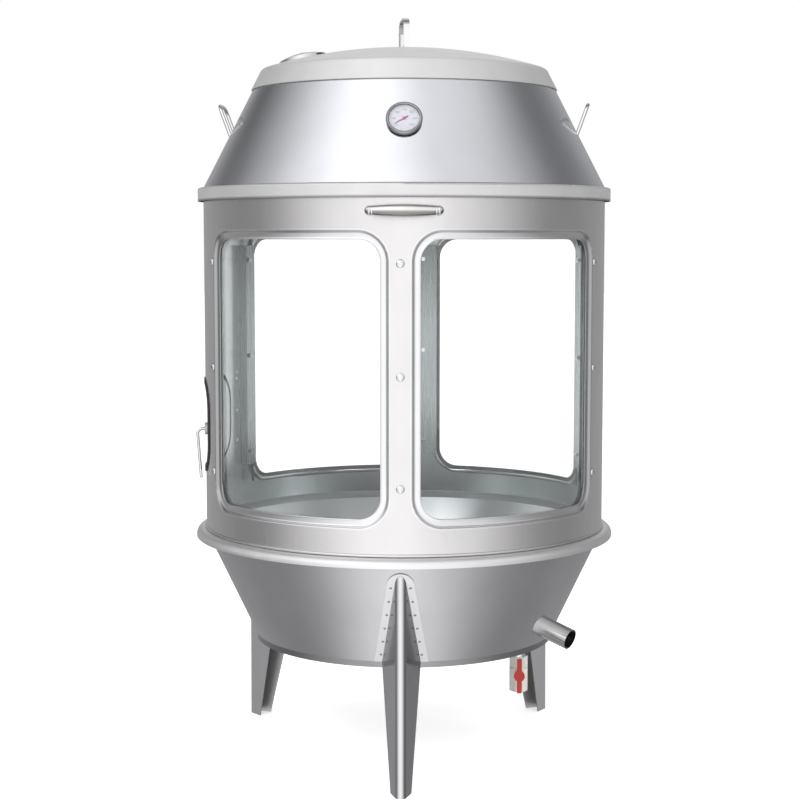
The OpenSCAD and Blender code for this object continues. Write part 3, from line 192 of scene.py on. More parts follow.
area_light("key_light", (-1.6, -3.2, 3.4), (0, 0, 0.9), (2.2, 1.6), 60)
area_light("fill_light", (2.8, -2.4, 2.2), (0, 0, 0.8), (1.6, 2.2), 30)
area_light("top_light", (0, 0.4, 4.2), (0, 0, 1.2), (2.6, 2.6), 45)


def new_material(name):
    """A node material with a Principled shader; returns material, tree and shader."""
    material = bpy.data.materials.new(name)
    material.use_nodes = True
    tree = material.node_tree
    return material, tree, tree.nodes["Principled BSDF"]


def surface(tree):
    """The socket of a material that its finished shader goes into."""
    return tree.nodes["Material Output"].inputs["Surface"]


def unmirrored(material):
    """Keeps a piece out of the mirror images in the steel, as in a retouched shop photo."""
    tree = material.node_tree
    mirror_ray = tree.nodes.new("ShaderNodeLightPath").outputs["Is Glossy Ray"]
    gone = tree.nodes.new("ShaderNodeBsdfTransparent").outputs[0]
    own_shader = surface(tree).links[0].from_socket
    tree.links.new(mix_shaders(tree, mirror_ray, own_shader, gone), surface(tree))


floor_reach, floor_glow = 30, 0.62
floor_mesh = bpy.data.meshes.new("floor")
floor_corners = [(x * floor_reach, y * floor_reach, 0) for x, y in ((-1, -1), (1, -1), (1, 1), (-1, 1))]
floor_mesh.from_pydata(floor_corners, [], [(0, 1, 2, 3)])
floor = add_object("floor", floor_mesh)
floor_paint, floor_tree, paint = new_material("floor_paint")
feed(floor_tree, paint, {"Base Color": (0.88, 0.88, 0.88, 1), "Roughness": 0.7})
glow = new_node(floor_tree, "ShaderNodeEmission", {"Color": (1, 1, 1, 1), "Strength": floor_glow})
glowing = new_node(floor_tree, "ShaderNodeAddShader", {0: paint.outputs[0], 1: glow.outputs[0]})
floor_in_sight = either_ray(floor_tree, "Is Camera Ray", "Is Transmission Ray")
floor_shader = mix_shaders(floor_tree, floor_in_sight, paint.outputs[0], glowing.outputs[0])
floor_tree.links.new(floor_shader, surface(floor_tree))
unmirrored(floor_paint)
floor_mesh.materials.append(floor_paint)


# Fire bowl.
# A cone rolled from stainless sheet with an upright brush, closed by a flat floor. A rim with a
# rolled edge closes its top and carries the barrel.
noise_low, noise_high = 0.3, 0.7


def noise(tree, scale, stretch, detail, roughness=0.55, seed=0.0):
    """Noise on Object coordinates, stretched by a vector of factors and shifted by a seed."""
    place = tree.nodes.new("ShaderNodeTexCoord").outputs["Object"]
    mapping = new_node(tree, "ShaderNodeMapping", {
        "Vector": place, "Scale": stretch, "Location": (seed, seed * 0.7, seed * 1.3)})
    texture = new_node(tree, "ShaderNodeTexNoise", {
        "Vector": mapping.outputs[0], "Scale": scale, "Detail": detail, "Roughness": roughness})
    return texture.outputs["Fac"]


def between(tree, source, dark, light):
    """A colour between two by a noise value, which mostly lies from noise_low to noise_high."""
    node = new_node(tree, "ShaderNodeValToRGB", {0: source})
    for stop, place, colour in zip(node.color_ramp.elements, (noise_low, noise_high), (dark, light)):
        stop.position = place
        stop.color = (*colour, 1)
    return node.outputs[0]


def bump(tree, source, strength, distance):
    """A surface normal that follows a height value."""
    node = new_node(tree, "ShaderNodeBump", {"Strength": strength, "Distance": distance, "Height": source})
    return node.outputs[0]


def steel(name, dark, light, rough, finish, metallic=1.0):
    """Steel by its colours, its range of roughness and the (stretch, depth) of its fine marks."""
    material, tree, shader = new_material(name)
    grain, depth = finish
    patches = noise(tree, scale=9.0, stretch=(1, 1, 0.6), detail=3, seed=len(name))
    marks = noise(tree, scale=1, stretch=grain, detail=6, roughness=0.7)
    feed(tree, shader, {
        "Metallic": metallic,
        "Base Color": between(tree, patches, dark, light),
        "Roughness": map_range(tree, marks, noise_low, noise_high, *rough),
        "Normal": bump(tree, marks, strength=0.25, distance=depth)})
    return material


def change_colour(material, share, colour, blend_type="MIX"):
    """Blends a colour into the material's own one by a share."""
    tree = material.node_tree
    base = tree.nodes["Principled BSDF"].inputs["Base Color"]
    tree.links.new(mix_colours(tree, share, base.links[0].from_socket, colour, blend_type), base)


def vector_node(tree, operation, *values):
    """The output of a vector math node, which is a number for a length or a dot product."""
    node = tree.nodes.new("ShaderNodeVectorMath")
    node.operation = operation
    feed(tree, node, dict(enumerate(values)))
    return node.outputs["Value" if operation in ("LENGTH", "DOT_PRODUCT") else "Vector"]


def inner_side(material, radius, dark, light, slope=0.0, below=9.0):
    """Paints shade on the metal inside a cone about the oven's axis, and below a level, in darker colours."""
    tree = material.node_tree
    place = tree.nodes.new("ShaderNodeTexCoord").outputs["Object"]
    level = split(tree, place)["Z"]
    distance = vector_node(tree, "LENGTH", vector_node(tree, "MULTIPLY", place, (1, 1, 0)))
    inside = math_node(tree, "LESS_THAN", math_node(tree, "MULTIPLY_ADD", level, -slope, distance), radius)
    mask = math_node(tree, "MULTIPLY", inside, math_node(tree, "LESS_THAN", level, below))
    patches = noise(tree, scale=7.0, stretch=(1, 1, 0.4), detail=3, seed=3.0)
    change_colour(material, mask, between(tree, patches, dark, light))


def finish_nodes(material, *names):
    """Gives CAD nodes their material."""
    for name in names:
        data = nodes[name].data
        data.materials.clear()
        data.materials.append(material)


# The finishes of the sheets: the stretch of their marks and the marks' depth
brushed = ((700, 700, 6), 0.00001)
plain = ((60, 60, 60), 0.00001)
# The middle of the bowl's wall, drawn on down to z = 0, has this radius, which grows by the slope
bowl_wall_radius, bowl_slope = 0.1900, 0.4712
bowl_steel = steel("bowl_steel", (0.565, 0.56, 0.562), (0.615, 0.61, 0.612), (0.32, 0.38), brushed)
# Inside, the bowl's wall is painted in darker green-grey as shade.
inner_side(bowl_steel, bowl_wall_radius, (0.42, 0.44, 0.455), (0.53, 0.55, 0.565), slope=bowl_slope)
finish_nodes(bowl_steel, "bowl_shell")
# The bowl's floor is painted darker than its wall, as shade.
floor_steel = steel("floor_steel", (0.30, 0.30, 0.30), (0.35, 0.35, 0.35), (0.3, 0.36), brushed)
finish_nodes(floor_steel, "bowl_floor")
rim_steel = steel("rim_steel", (0.81, 0.805, 0.795), (0.86, 0.855, 0.845), (0.42, 0.52), plain)
rim_inner_radius, rim_inner_top = 0.3985, 0.46
# The rim's inner face below the barrel is painted darker, as shade.
inner_side(rim_steel, rim_inner_radius, (0.42, 0.45, 0.45), (0.47, 0.50, 0.50), below=rim_inner_top)
finish_nodes(rim_steel, "bowl_rim")


# Legs.
# Each of the three legs is folded from one sheet into a V with a rounded nose, and riveted to the
# bowl by way of a plate.
def darken(material, greys):
    """Multiplies a material's colour by greys."""
    change_colour(material, 1, greys, "MULTIPLY")


def by_facing(material, stops, axis="Z"):
    """Paints shade by greys at shares of the way from facing down an axis to facing up it."""
    tree = material.node_tree
    facing = split(tree, tree.nodes.new("ShaderNodeTexCoord").outputs["Normal"])[axis]
    darken(material, grey_ramp(tree, map_range(tree, facing, -1, 1), stops))


def facing_in(material, dark, light):
    """Paints shade in a darker colour on the faces that look towards the oven's axis."""
    tree = material.node_tree
    coordinates = tree.nodes.new("ShaderNodeTexCoord").outputs
    away = vector_node(tree, "MULTIPLY", coordinates["Object"], (1, 1, 0))
    outwards = vector_node(tree, "DOT_PRODUCT", coordinates["Normal"], away)
    mask = math_node(tree, "LESS_THAN", outwards, inward_limit)
    patches = noise(tree, scale=12.0, stretch=(1, 1, 0.4), detail=3, seed=5.0)
    change_colour(material, mask, between(tree, patches, dark, light))


# A face counts as looking inwards up to this product of its normal and its place
inward_limit = 0.02
smooth = ((90, 90, 90), 0.000005)
# Painted shade on the front leg's nose: its sides darker, the side facing +X the darkest.
nose_shade_greys = [(0.0, 0.76), (0.2, 0.78), (0.36, 1.0), (0.64, 1.0), (0.8, 0.52), (1.0, 0.48)]
front_leg_steel = steel("front_leg_steel", (0.62, 0.62, 0.62), (0.68, 0.68, 0.68), (0.12, 0.16), plain)
by_facing(front_leg_steel, nose_shade_greys, "X")
# Painted shade on the front leg's inward faces.
facing_in(front_leg_steel, (0.20, 0.20, 0.195), (0.26, 0.26, 0.255))
finish_nodes(front_leg_steel, "leg_front")
rear_leg_steel = steel("rear_leg_steel", (0.83, 0.83, 0.825), (0.89, 0.89, 0.885), (0.3, 0.36), plain)
# Painted shade on the rear legs' inward faces.
facing_in(rear_leg_steel, (0.38, 0.385, 0.375), (0.45, 0.455, 0.445))
finish_nodes(rear_leg_steel, "leg_left", "leg_right")
plate_steel = steel("plate_steel", (0.72, 0.72, 0.71), (0.78, 0.78, 0.77), (0.40, 0.48), plain)
finish_nodes(plate_steel, "leg_plates")
rivet_steel = steel("rivet_steel", (0.30, 0.30, 0.295), (0.36, 0.36, 0.355), (0.2, 0.26), smooth)
finish_nodes(rivet_steel, "leg_rivets")


# Oil outlet pipe.
# A short polished tube that passes through the bowl's wall low down at the front right. It points
# outwards and down, and its bore is painted black as shade.
def dark_bore(material, start, along, radius):
    """Paints black shade on the metal closer than a radius to a line."""
    tree = material.node_tree
    place = tree.nodes.new("ShaderNodeTexCoord").outputs["Object"]
    offset = vector_node(tree, "SUBTRACT", place, start)
    distance = vector_node(tree, "LENGTH", vector_node(tree, "CROSS_PRODUCT", offset, along))
    change_colour(material, math_node(tree, "LESS_THAN", distance, radius), bore_shade)


# The black of the pipe's bore, painted as shade.
bore_shade = (0.012, 0.011, 0.010, 1)
pipe_steel = steel("pipe_steel", (0.62, 0.615, 0.605), (0.70, 0.695, 0.685), (0.12, 0.17), smooth)
pipe_turn, pipe_lean = math.radians(54), math.radians(-16)
# Where the pipe's axis meets the bowl, and a radius between its bore and its outside
pipe_root_radius, pipe_root_level, pipe_wall_radius = 0.3237, 0.282, 0.0192
pipe_root = (pipe_root_radius * math.sin(pipe_turn), -pipe_root_radius * math.cos(pipe_turn),
             pipe_root_level)
pipe_way = (math.sin(pipe_turn) * math.cos(pipe_lean), -math.cos(pipe_turn) * math.cos(pipe_lean),
            math.sin(pipe_lean))
dark_bore(pipe_steel, pipe_root, pipe_way, pipe_wall_radius)
unmirrored(pipe_steel)
finish_nodes(pipe_steel, "oil_outlet_pipe")


# Drain valve.
# A ball valve moulded in white PVC with a red T handle, screwed on to a steel nipple that two
# locknuts hold in the bowl's floor.
def coloured(name, dark, light, rough, scale=60.0, metallic=0.0):
    """Plastic, rubber, print or burnt iron, with fine grain; rough is its range of roughness."""
    material, tree, shader = new_material(name)
    grain = noise(tree, scale, stretch=(1, 1, 1), detail=4, seed=len(name))
    feed(tree, shader, {
        "Metallic": metallic,
        "Base Color": between(tree, grain, dark, light),
        "Roughness": map_range(tree, grain, noise_low, noise_high, *rough),
        "Normal": bump(tree, grain, strength=0.3, distance=0.0001)})
    return material


polished = steel("polished_steel", (0.70, 0.70, 0.695), (0.78, 0.78, 0.775), (0.09, 0.14), smooth)
finish_nodes(polished, "drain_nipple", "drain_locknuts", "valve_ball", "valve_stem")
valve_pvc = coloured("valve_pvc", (0.80, 0.77, 0.70), (0.88, 0.85, 0.79), (0.35, 0.5))
unmirrored(valve_pvc)
finish_nodes(valve_pvc, "valve_body", "valve_seats")
valve_red = coloured("valve_red", (0.46, 0.018, 0.008), (0.54, 0.028, 0.012), (0.3, 0.45))
unmirrored(valve_red)
finish_nodes(valve_red, "valve_handle")


# Charcoal basket.
# A round basket with a loose grate, both of plain iron that the fire has burnt dark. It stands on
# the bowl's floor.
burnt_iron = coloured("burnt_iron", (0.03, 0.028, 0.026), (0.09, 0.075, 0.065), (0.6, 0.85), scale=25,
                      metallic=0.4)
finish_nodes(burnt_iron, "charcoal_basket", "basket_grate")


# Barrel.
# One stainless sheet rolled into a cylinder, brushed upright outside, its inside painted in
# darker green-grey as shade. Four brackets inside its top carry a ring with crossed rods, from which the food
# hangs.
barrel_radius = 0.400
# A radius between the sheet's outer and inner face
barrel_wall_radius = 0.3994
barrel_steel = steel("barrel_steel", (0.665, 0.652, 0.636), (0.715, 0.702, 0.686), (0.22, 0.28), brushed)
# The sheet's inner face is painted in darker green-grey, as shade.
inner_side(barrel_steel, barrel_wall_radius, (0.44, 0.475, 0.47), (0.50, 0.535, 0.53))
finish_nodes(barrel_steel, "barrel_shell")
inner_steel = steel("inner_steel", (0.60, 0.615, 0.62), (0.67, 0.68, 0.685), (0.22, 0.3), brushed)
finish_nodes(inner_steel, "ring_brackets")
finish_nodes(polished, "hanging_ring")


# Window borders.
# Each opening's edge is pressed inwards in one soft step, lies flat round the glass and ends in a
# small rolled bead, so that it catches a bright line outside and inside.
def duller_edges(material, low):
    """Paints shade on the steps that look back towards the oven's front, the further out the more."""
    tree = material.node_tree
    coordinates = tree.nodes.new("ShaderNodeTexCoord").outputs
    sideways = split(tree, vector_node(tree, "CROSS_PRODUCT", coordinates["Object"], coordinates["Normal"]))
    looking_back = math_node(tree, "MULTIPLY", sideways["Z"], split(tree, coordinates["Object"])["X"])
    darken(material, map_range(tree, looking_back, start=-0.08, end=-0.02, low=low))


border_steel = steel("border_steel", (0.70, 0.70, 0.695), (0.76, 0.76, 0.755), (0.20, 0.26), plain)
# Painted shade on the border's steps.
duller_edges(border_steel, low=0.45)
window_width, window_height, window_corner = 0.4348, 0.540, 0.057
window_level = 0.7728
window_turns = {"front_left": -35.08, "front_right": 33.08, "rear_right": 139.42, "rear_left": 207.58}
# The border's section: inset from the outline and radius from the oven's axis, in millimetres
border_face = [(-2.6, 400.04), (-1.6, 400.17), (-0.5, 400.16), (0.4, 399.9), (1.1, 399.3), (1.8, 398.3),
               (2.5, 396.9), (3.2, 395.5), (3.9, 394.4), (4.7, 393.6), (5.8, 393.1), (7.5, 392.95),
               (13.2, 392.95), (14.2, 393.2), (15.0, 393.7), (15.8, 393.9), (16.5, 393.6), (16.9, 393.0),
               (17.0, 392.4)]
border_back = [(16.7, 391.9), (15.5, 391.8), (4.9, 391.8), (3.4, 392.6), (2.2, 394.2), (1.2, 396.4),
               (0.4, 398.2), (0.05, 398.9), (0.03, 400.02)]


def in_metres(section):
    """A section of points in millimetres, made one in metres."""
    return [(across / 1000, height / 1000) for across, height in section]


def rounded_outline(width, height, corner, inset, corner_steps=16, straight_steps=40):
    """Points (along, up) round a rounded rectangle, anticlockwise from the lower right corner."""
    centre_x, centre_z, radius = width / 2 - corner, height / 2 - corner, corner - inset
    points = []
    for side, end, start in ((1, -1, -90), (1, 1, 0), (-1, 1, 90), (-1, -1, 180)):
        for step in range(corner_steps + 1):
            angle = math.radians(start + 90 * step / corner_steps)
            points.append((side * centre_x + radius * math.cos(angle),
                           end * centre_z + radius * math.sin(angle)))
        if start in (0, 180):
            for step in range(1, straight_steps):
                points.append((side * centre_x * (1 - 2 * step / straight_steps), end * (centre_z + radius)))
    return points


def on_barrel(along, up, radius, turn, level):
    """A point of the unrolled outline, rolled on to a radius at an azimuth."""
    angle = math.radians(turn) + along / barrel_radius
    return (radius * math.sin(angle), -radius * math.cos(angle), level + up)


def closed_faces(rows, steps):
    """The faces of rows of points that close on themselves both ways."""
    faces = []
    for row in range(rows):
        here, above = row * steps, (row + 1) % rows * steps
        for step in range(steps):
            beside = (step + 1) % steps
            faces.append((here + step, here + beside, above + beside, above + step))
    return faces


def mesh_object(name, points, faces, material, smooth_angle=40.0):
    """A smooth-shaded mesh with sharp edges past an angle, in one material."""
    mesh = bpy.data.meshes.new(name)
    mesh.from_pydata(points, [], faces)
    mesh.materials.append(material)
    mesh.set_sharp_from_angle(angle=math.radians(smooth_angle))
    for face in mesh.polygons:
        face.use_smooth = True
    return add_object(name, mesh)


def swept_border(name, turn):
    """The border's section, swept round a window's outline at an azimuth."""
    rings = [[on_barrel(along, up, radius, turn, window_level)
              for along, up in rounded_outline(window_width, window_height, window_corner, inset)]
             for inset, radius in in_metres(border_face + border_back)]
    points = [point for ring in rings for point in ring]
    return mesh_object(name, points, closed_faces(len(rings), len(rings[0])), border_steel)


for place, turn in window_turns.items():
    border = swept_border("window_border_" + place, turn)
    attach(border, "barrel")
    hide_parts("window_frame_" + place)


# Window glass.
# Four curved panes of clear 5 mm glass, clamped behind the pressed borders on grey silicone. Lamps
# light the inside through them, dimmed a little and tinted with a slight green.
glass, glass_tree, glass_shader = new_material("window_glass")
feed(glass_tree, glass_shader, {
    "Base Color": (0.985, 0.995, 0.99, 1), "Roughness": 0.0, "IOR": 1.45, "Transmission Weight": 1})
clear = new_node(glass_tree, "ShaderNodeBsdfTransparent", {"Color": (0.97, 0.985, 0.98, 1)})
lighting = either_ray(glass_tree, "Is Shadow Ray", "Is Diffuse Ray")
lit_glass = mix_shaders(glass_tree, lighting, glass_shader.outputs[0], clear.outputs[0])
glass_tree.links.new(lit_glass, surface(glass_tree))
finish_nodes(glass, "window_glass_front_left", "window_glass_front_right", "window_glass_rear_left",
             "window_glass_rear_right")
silicone = coloured("silicone", (0.05, 0.06, 0.06), (0.09, 0.10, 0.10), (0.4, 0.6))
finish_nodes(silicone, "window_seals")


# Clamp strips.
# Folded strips of sheet behind the mullions and at the panes' outer edges hold the glass. Seen
# through it they are painted in dark shade, darker still towards the top.
def by_height(material, low, high, stops):
    """Paints shade by greys at shares of the height between two levels."""
    tree = material.node_tree
    level = split(tree, tree.nodes.new("ShaderNodeTexCoord").outputs["Object"])["Z"]
    darken(material, grey_ramp(tree, map_range(tree, level, low, high), stops))


# The strips' colour is painted shade, darker towards the top.
strip_steel = steel("strip_steel", (0.34, 0.365, 0.375), (0.42, 0.445, 0.455), (0.24, 0.32), brushed)
strip_low, strip_high = 0.50, 1.06
by_height(strip_steel, strip_low, strip_high, [(0.0, 1.0), (0.62, 0.95), (0.8, 0.72), (1.0, 0.55)])
finish_nodes(strip_steel, "mullion_strips", "pillar_strips")


# Window screws.
# Eighteen stainless button-head screws with a hexagon socket hold the clamp strips. Each goes
# through the sheet and the strip and ends in its nut inside.
screw_head_radius, screw_head_height, screw_rod_radius = 0.008, 0.0036, 0.0025
head_edge, rod_bevel, rod_tip_share = 0.0003, 0.0005, 0.8
head_angles = (15, 30, 45, 58, 66)
socket_size, socket_depth, socket_lead, socket_mouth_share = 0.0024, 0.0018, 0.0001, 1.08
screw_steps = 24
screw_seat, screw_inner_end = 0.4002, 0.3754
screw_levels = (0.5768, 0.7798, 0.9828)
screw_turns = (-1.0, 173.5, -67.79, 65.79, 106.71, 240.29)


def hexagon(angle):
    """How far out a hexagon's edge lies at an angle, where its flats lie at 1."""
    return 1 / math.cos((angle + math.pi / 6) % (math.pi / 3) - math.pi / 6)


def turned_screw(round_rows, hexagon_rows, steps):
    """Points and faces of a closed mesh from rows of (radius, height), bottom to top."""
    points, faces = [], []
    rows = round_rows + hexagon_rows
    for row, (radius, height) in enumerate(rows):
        for step in range(steps):
            angle = 2 * math.pi * step / steps
            reach = radius * (hexagon(angle) if row >= len(round_rows) else 1)
            points.append((reach * math.cos(angle), reach * math.sin(angle), height))
    for row in range(len(rows) - 1):
        here, above = row * steps, (row + 1) * steps
        for step in range(steps):
            beside = (step + 1) % steps
            faces.append((here + step, here + beside, above + beside, above + step))
    faces.append(tuple(range(steps))[::-1])
    faces.append(tuple((len(rows) - 1) * steps + step for step in range(steps)))
    return points, faces


rod = screw_seat - screw_inner_end
screw_rows = [(screw_rod_radius * rod_tip_share, -rod), (screw_rod_radius, rod_bevel - rod),
              (screw_rod_radius, 0), (screw_head_radius, 0), (screw_head_radius, head_edge)]
screw_rows += [(screw_head_radius * math.cos(angle),
                head_edge + (screw_head_height - head_edge) * math.sin(angle))
               for angle in map(math.radians, head_angles)]
head_top = screw_rows[-1][1] + 2 * socket_lead
socket_rows = [(socket_size * socket_mouth_share, head_top), (socket_size, head_top - socket_lead),
               (socket_size, head_top - socket_depth)]
screw_points, screw_faces = turned_screw(screw_rows, socket_rows, screw_steps)
screw_piece = mesh_object("screw_piece", screw_points, screw_faces, polished, smooth_angle=35)


def repeat_tree(name, material, sockets):
    """An empty geometry tree with named inputs, whose given geometry ends realised and finished."""
    group = bpy.data.node_groups.new(name, "GeometryNodeTree")
    group.is_modifier = True
    group.interface.new_socket("Geometry", in_out="OUTPUT", socket_type="NodeSocketGeometry")
    for socket, kind in sockets:
        group.interface.new_socket(socket, in_out="INPUT", socket_type=kind)
    given = group.nodes.new("NodeGroupInput").outputs
    outlet = group.nodes.new("NodeGroupOutput")
    realised = group.nodes.new("GeometryNodeRealizeInstances")
    finished = new_node(group, "GeometryNodeSetMaterial", {0: realised.outputs[0], "Material": material})
    group.links.new(finished.outputs[0], outlet.inputs[0])
    return group, given, realised


def put_on_points(group, realised, points, piece, turns):
    """Sets a piece on each point, turned by Euler angles, and hands the result on to be realised."""
    rotation = new_node(group, "FunctionNodeEulerToRotation", {0: turns})
    spots = new_node(group, "GeometryNodeInstanceOnPoints", {
        "Points": points, "Instance": piece, "Rotation": rotation.outputs[0]})
    group.links.new(spots.outputs[0], realised.inputs[0])


def plain_mesh(host):
    """The evaluated shape of an object as a plain mesh; the object itself is removed."""
    bpy.context.scene.collection.objects.link(host)
    graph = bpy.context.evaluated_depsgraph_get()
    mesh = bpy.data.meshes.new_from_object(host.evaluated_get(graph))
    bpy.data.objects.remove(host)
    return mesh


def grown(name, mesh, group, values):
    """Runs a geometry tree on a mesh, with named inputs set, and returns a plain mesh."""
    host = bpy.data.objects.new(name, mesh)
    modifier = host.modifiers.new("repeat", "NODES")
    modifier.node_group = group
    for item in group.interface.items_tree:
        if item.in_out == "INPUT" and item.name in values:
            modifier[item.identifier] = values[item.name]
    return plain_mesh(host)


place_group, place_inputs, place_end = repeat_tree("pieces_on_places", polished, [
    ("Places", "NodeSocketGeometry"), ("Piece", "NodeSocketObject")])
facing = place_group.nodes.new("GeometryNodeInputNamedAttribute")
facing.data_type = "FLOAT_VECTOR"
facing.inputs["Name"].default_value = "facing"
piece_info = new_node(place_group, "GeometryNodeObjectInfo", {"Object": place_inputs["Piece"]})
put_on_points(place_group, place_end, place_inputs["Places"], piece_info.outputs["Geometry"],
              facing.outputs[0])


def placed(name, piece, places):
    """Copies of a piece at (point, Euler angles) places, as one plain object; the piece is removed."""
    mesh = bpy.data.meshes.new(name)
    mesh.from_pydata([point for point, _ in places], [], [])
    facing_data = mesh.attributes.new("facing", "FLOAT_VECTOR", "POINT")
    facing_data.data.foreach_set("vector", [value for _, turns in places for value in turns])
    copies = grown(name, mesh, place_group, {"Piece": piece})
    bpy.data.objects.remove(piece)
    return add_object(name, copies)


def outward_place(turn, radius, level):
    """A place on the oven's side whose +Z points outwards."""
    angle = math.radians(turn)
    return (radius * math.sin(angle), -radius * math.cos(angle), level), (math.radians(90), 0, angle)


screws = placed("window_screw_set", screw_piece,
                [outward_place(turn, screw_seat, level) for turn in screw_turns for level in screw_levels])
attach(screws, "barrel")
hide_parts("window_screws")
finish_nodes(polished, "window_nuts")


# Bow handles.
# A grip that swells to its middle, on two posts with round feet, stands at the barrel's front and
# another at its back. Near each of its ends a grip has a turned ferrule with two beads.
bow_steel = steel("bow_steel", (0.64, 0.625, 0.59), (0.72, 0.705, 0.67), (0.16, 0.22), smooth)
# Painted shade on the grip's underside, and a little on its top.
by_facing(bow_steel, [(0.0, 0.35), (0.34, 0.36), (0.46, 0.62), (0.54, 1.0), (0.78, 1.0), (1.0, 0.8)])
finish_nodes(bow_steel, "barrel_handle_front", "barrel_handle_rear")


def turned_ring(name, profile, steps, material):
    """A closed section of (radius, height) in millimetres, turned all the way round +Z."""
    angles = [2 * math.pi * step / steps for step in range(steps)]
    points = [(radius * math.cos(angle), radius * math.sin(angle), height)
              for radius, height in in_metres(profile) for angle in angles]
    return mesh_object(name, points, closed_faces(len(profile), steps), material)


mirror_smooth = ((90, 90, 90), 0.000003)
# The ferrule's section: radius and length from its inner end, in millimetres
ferrule_profile = [(5.0, 0), (7.9, 0), (8.6, 0.4), (8.8, 1.2), (8.6, 2.0), (8.0, 2.4), (7.7, 3.0),
                   (7.7, 5.0), (8.0, 5.6), (8.6, 6.0), (8.8, 6.8), (8.6, 7.6), (7.8, 8.2), (5.0, 8.2)]
ferrule_steps = 40
ferrule_steel = steel("ferrule_steel", (0.50, 0.495, 0.485), (0.58, 0.575, 0.565), (0.1, 0.14), mirror_smooth)
ferrule = turned_ring("ferrule_piece", ferrule_profile, ferrule_steps, ferrule_steel)
bow_axis, bow_level, ferrule_start = 0.435, 1.0768, 0.0560
ferrules = placed("handle_ferrules", ferrule,
                  [((side * ferrule_start, way * bow_axis, bow_level), (0, math.radians(90 * side), 0))
                   for side in (-1, 1) for way in (-1, 1)])
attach(ferrules, "barrel")


# Charging hatch.
# A curved door of the barrel's own sheet in a hole edged with black rubber. Its hinge leaves are
# riveted on round a steel pin, and a turning finger behind the sheet latches it.
door_wall_radius = 0.3949
door_steel = steel("door_steel", (0.665, 0.652, 0.636), (0.715, 0.702, 0.686), (0.22, 0.28), brushed)
# The door's inner face is painted in darker green-grey, as shade.
inner_side(door_steel, door_wall_radius, (0.34, 0.38, 0.37), (0.39, 0.43, 0.42))
finish_nodes(door_steel, "hatch_door")
edge_rubber = coloured("edge_rubber", (0.012, 0.012, 0.012), (0.03, 0.03, 0.03), (0.5, 0.7))
finish_nodes(edge_rubber, "hatch_trim")
finish_nodes(inner_steel, "hatch_leaf", "hatch_door_leaf", "hatch_rivets", "latch_finger")
finish_nodes(plate_steel, "latch_plate")
finish_nodes(polished, "hatch_pin", "latch_handle")


# Hood.
# A cone rolled from finely brushed sheet, on a rounded ring that caps the barrel's top edge. The
# two are lifted off together by two bent rods.
finely_brushed = ((700, 700, 6), 0.000008)
hood_steel = steel("hood_steel", (0.635, 0.645, 0.66), (0.685, 0.695, 0.71), (0.14, 0.19), finely_brushed)
finish_nodes(hood_steel, "hood_shell")
finish_nodes(polished, "hood_handle_left", "hood_handle_right")
ring_steel = steel("ring_steel", (0.62, 0.615, 0.605), (0.68, 0.675, 0.665), (0.40, 0.48), plain, metallic=0.6)
ring_foot, ring_top = 1.1003, 1.1263
# Painted shade in bands by height: dark at the ring's foot, and lighter at its top edge.
by_height(ring_steel, ring_foot, ring_top, [(0.0, 0.35), (0.10, 0.5), (0.2, 1.0), (0.82, 1.0), (1.0, 0.75)])
finish_nodes(ring_steel, "hood_ring")


# Thermometer case.
# A pressed case closed by a chromed bezel that is rolled over the edge of the glass. Its stem goes
# through the hood and is held by a nut inside.
hood_fall, hood_height = 0.099, 0.192
gauge_lean = math.atan2(hood_fall, hood_height)
gauge_turn = Matrix(((1, 0, 0), (0, math.sin(gauge_lean), -math.cos(gauge_lean)),
                     (0, math.cos(gauge_lean), math.sin(gauge_lean)))).to_4x4()
gauge_place = (0, -0.3412, 1.2406)
gauge_seat = Matrix.Translation(gauge_place) @ gauge_turn
case_back = 0.0003
# The case's section: radius and height above its back, in millimetres
case_profile = [(6.2, 0), (30, 0), (30, 3.5), (33.2, 3.5), (33.45, 3.8), (33.5, 4.6), (33.4, 5.8),
                (33.0, 7.0), (32.3, 8.0), (31.4, 8.7), (30.4, 8.98), (29.5, 8.9), (28.7, 8.5), (28.2, 8.1),
                (28.0, 7.8), (28.75, 7.8), (28.75, 6.2), (28.0, 6.2), (28.0, 3.0), (27.2, 3.0), (27.2, 1.2),
                (6.2, 1.2)]
case_steps = 72
chrome = steel("gauge_chrome", (0.25, 0.25, 0.25), (0.31, 0.31, 0.31), (0.07, 0.11), mirror_smooth)
case = turned_ring("gauge_case", case_profile, case_steps, chrome)
case.data.transform(gauge_seat @ Matrix.Translation((0, 0, case_back)))
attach(case, "hood")
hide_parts("thermometer_case")
finish_nodes(polished, "thermometer_stem", "thermometer_nut")


# Thermometer face.
# A white printed disc under glass, marked in tens of degrees with a number at every fifty, as on
# any oven gauge, with a red pointer.
dial_white = coloured("dial_white", (0.47, 0.455, 0.50), (0.50, 0.485, 0.53), (0.4, 0.5))
finish_nodes(dial_white, "thermometer_dial")
pointer_red = coloured("pointer_red", (0.30, 0.03, 0.07), (0.36, 0.04, 0.09), (0.35, 0.45))
finish_nodes(pointer_red, "thermometer_pointer")
finish_nodes(glass, "thermometer_lens")
dial_print, print_tree, print_shader = new_material("dial_print")
fleck = noise(print_tree, scale=900, stretch=(1, 1, 1), detail=2)
feed(print_tree, print_shader, {
    "Roughness": 0.5, "Base Color": between(print_tree, fleck, (0.10, 0.10, 0.13), (0.16, 0.16, 0.20))})

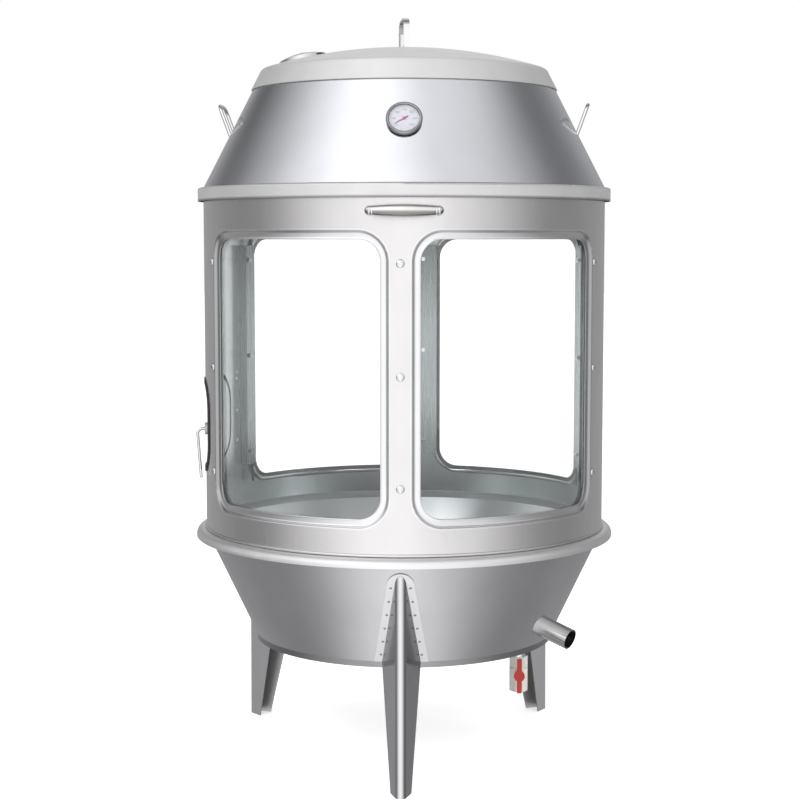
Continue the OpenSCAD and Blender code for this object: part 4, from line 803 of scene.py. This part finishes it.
tick_group, tick_inputs, tick_end = repeat_tree("dial_ticks", dial_print, [
    ("Count", "NodeSocketInt"), ("Sweep", "NodeSocketFloat"), ("Radius", "NodeSocketFloat"),
    ("Tick", "NodeSocketVector")])
index = tick_group.nodes.new("GeometryNodeInputIndex").outputs[0]
last_index = math_node(tick_group, "SUBTRACT", tick_inputs["Count"], 1)
tick_share = math_node(tick_group, "DIVIDE", index, last_index)
tick_swing = math_node(tick_group, "MULTIPLY", tick_share, tick_inputs["Sweep"])
half_sweep = math_node(tick_group, "MULTIPLY", tick_inputs["Sweep"], 0.5)
tick_turn = math_node(tick_group, "SUBTRACT", half_sweep, tick_swing)
rightward = math_node(tick_group, "MULTIPLY", math_node(tick_group, "SINE", tick_turn), -1)
upward = math_node(tick_group, "COSINE", tick_turn)
tick_place = new_node(tick_group, "ShaderNodeCombineXYZ", {
    "X": math_node(tick_group, "MULTIPLY", rightward, tick_inputs["Radius"]),
    "Y": math_node(tick_group, "MULTIPLY", upward, tick_inputs["Radius"])})
tick_points = new_node(tick_group, "GeometryNodePoints", {
    "Count": tick_inputs["Count"], "Position": tick_place.outputs[0]})
tick_bar = new_node(tick_group, "GeometryNodeMeshCube", {"Size": tick_inputs["Tick"]})
tick_spin = new_node(tick_group, "ShaderNodeCombineXYZ", {"Z": tick_turn})
put_on_points(tick_group, tick_end, tick_points.outputs[0], tick_bar.outputs[0], tick_spin.outputs[0])

face_level = 0.00414
face_sweep = math.radians(270)
# Count, radius and size of the fine ticks at each ten degrees and the bold ones at each fifty
fine_ticks = (31, 0.0243, (0.0004, 0.0022, 0.00006))
bold_ticks = (7, 0.0236, (0.0008, 0.0036, 0.00008))
number_radius, number_size, number_height = 0.0185, 0.0056, 0.00004
top_number, number_step = 300, 50
face_parts = bmesh.new()
for count, radius, tick in (fine_ticks, bold_ticks):
    ticks = grown("ticks", bpy.data.meshes.new("ticks"), tick_group,
                  {"Count": count, "Sweep": face_sweep, "Radius": radius, "Tick": tick})
    face_parts.from_mesh(ticks)
for number in range(0, top_number + 1, number_step):
    letters = bpy.data.curves.new("number", "FONT")
    letters.body = str(number)
    letters.size = number_size
    letters.align_x, letters.align_y = "CENTER", "CENTER"
    letters.extrude = number_height
    shape = plain_mesh(bpy.data.objects.new("number", letters))
    angle = face_sweep * (number / top_number - 0.5)
    shape.transform(Matrix.Translation((number_radius * math.sin(angle), number_radius * math.cos(angle), 0)))
    face_parts.from_mesh(shape)
face_mesh = bpy.data.meshes.new("dial_marks")
face_parts.to_mesh(face_mesh)
face_parts.free()
face_mesh.transform(gauge_seat @ Matrix.Translation((0, 0, face_level)))
face_mesh.materials.clear()
face_mesh.materials.append(dial_print)
face = add_object("dial_marks", face_mesh)
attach(face, "hood")


# Lid.
# A shallow dome pressed from sheet lies on the hood, with a strap handle on top and a turning
# damper over its vent at the left.
lid_steel = steel("lid_steel", (0.575, 0.575, 0.56), (0.625, 0.625, 0.61), (0.44, 0.54), plain, metallic=0.6)
finish_nodes(lid_steel, "lid_shell")
finish_nodes(polished, "lid_handle")
vent_steel = steel("vent_steel", (0.62, 0.62, 0.60), (0.70, 0.70, 0.68), (0.2, 0.28), plain)
finish_nodes(vent_steel, "vent_base", "vent_cap")
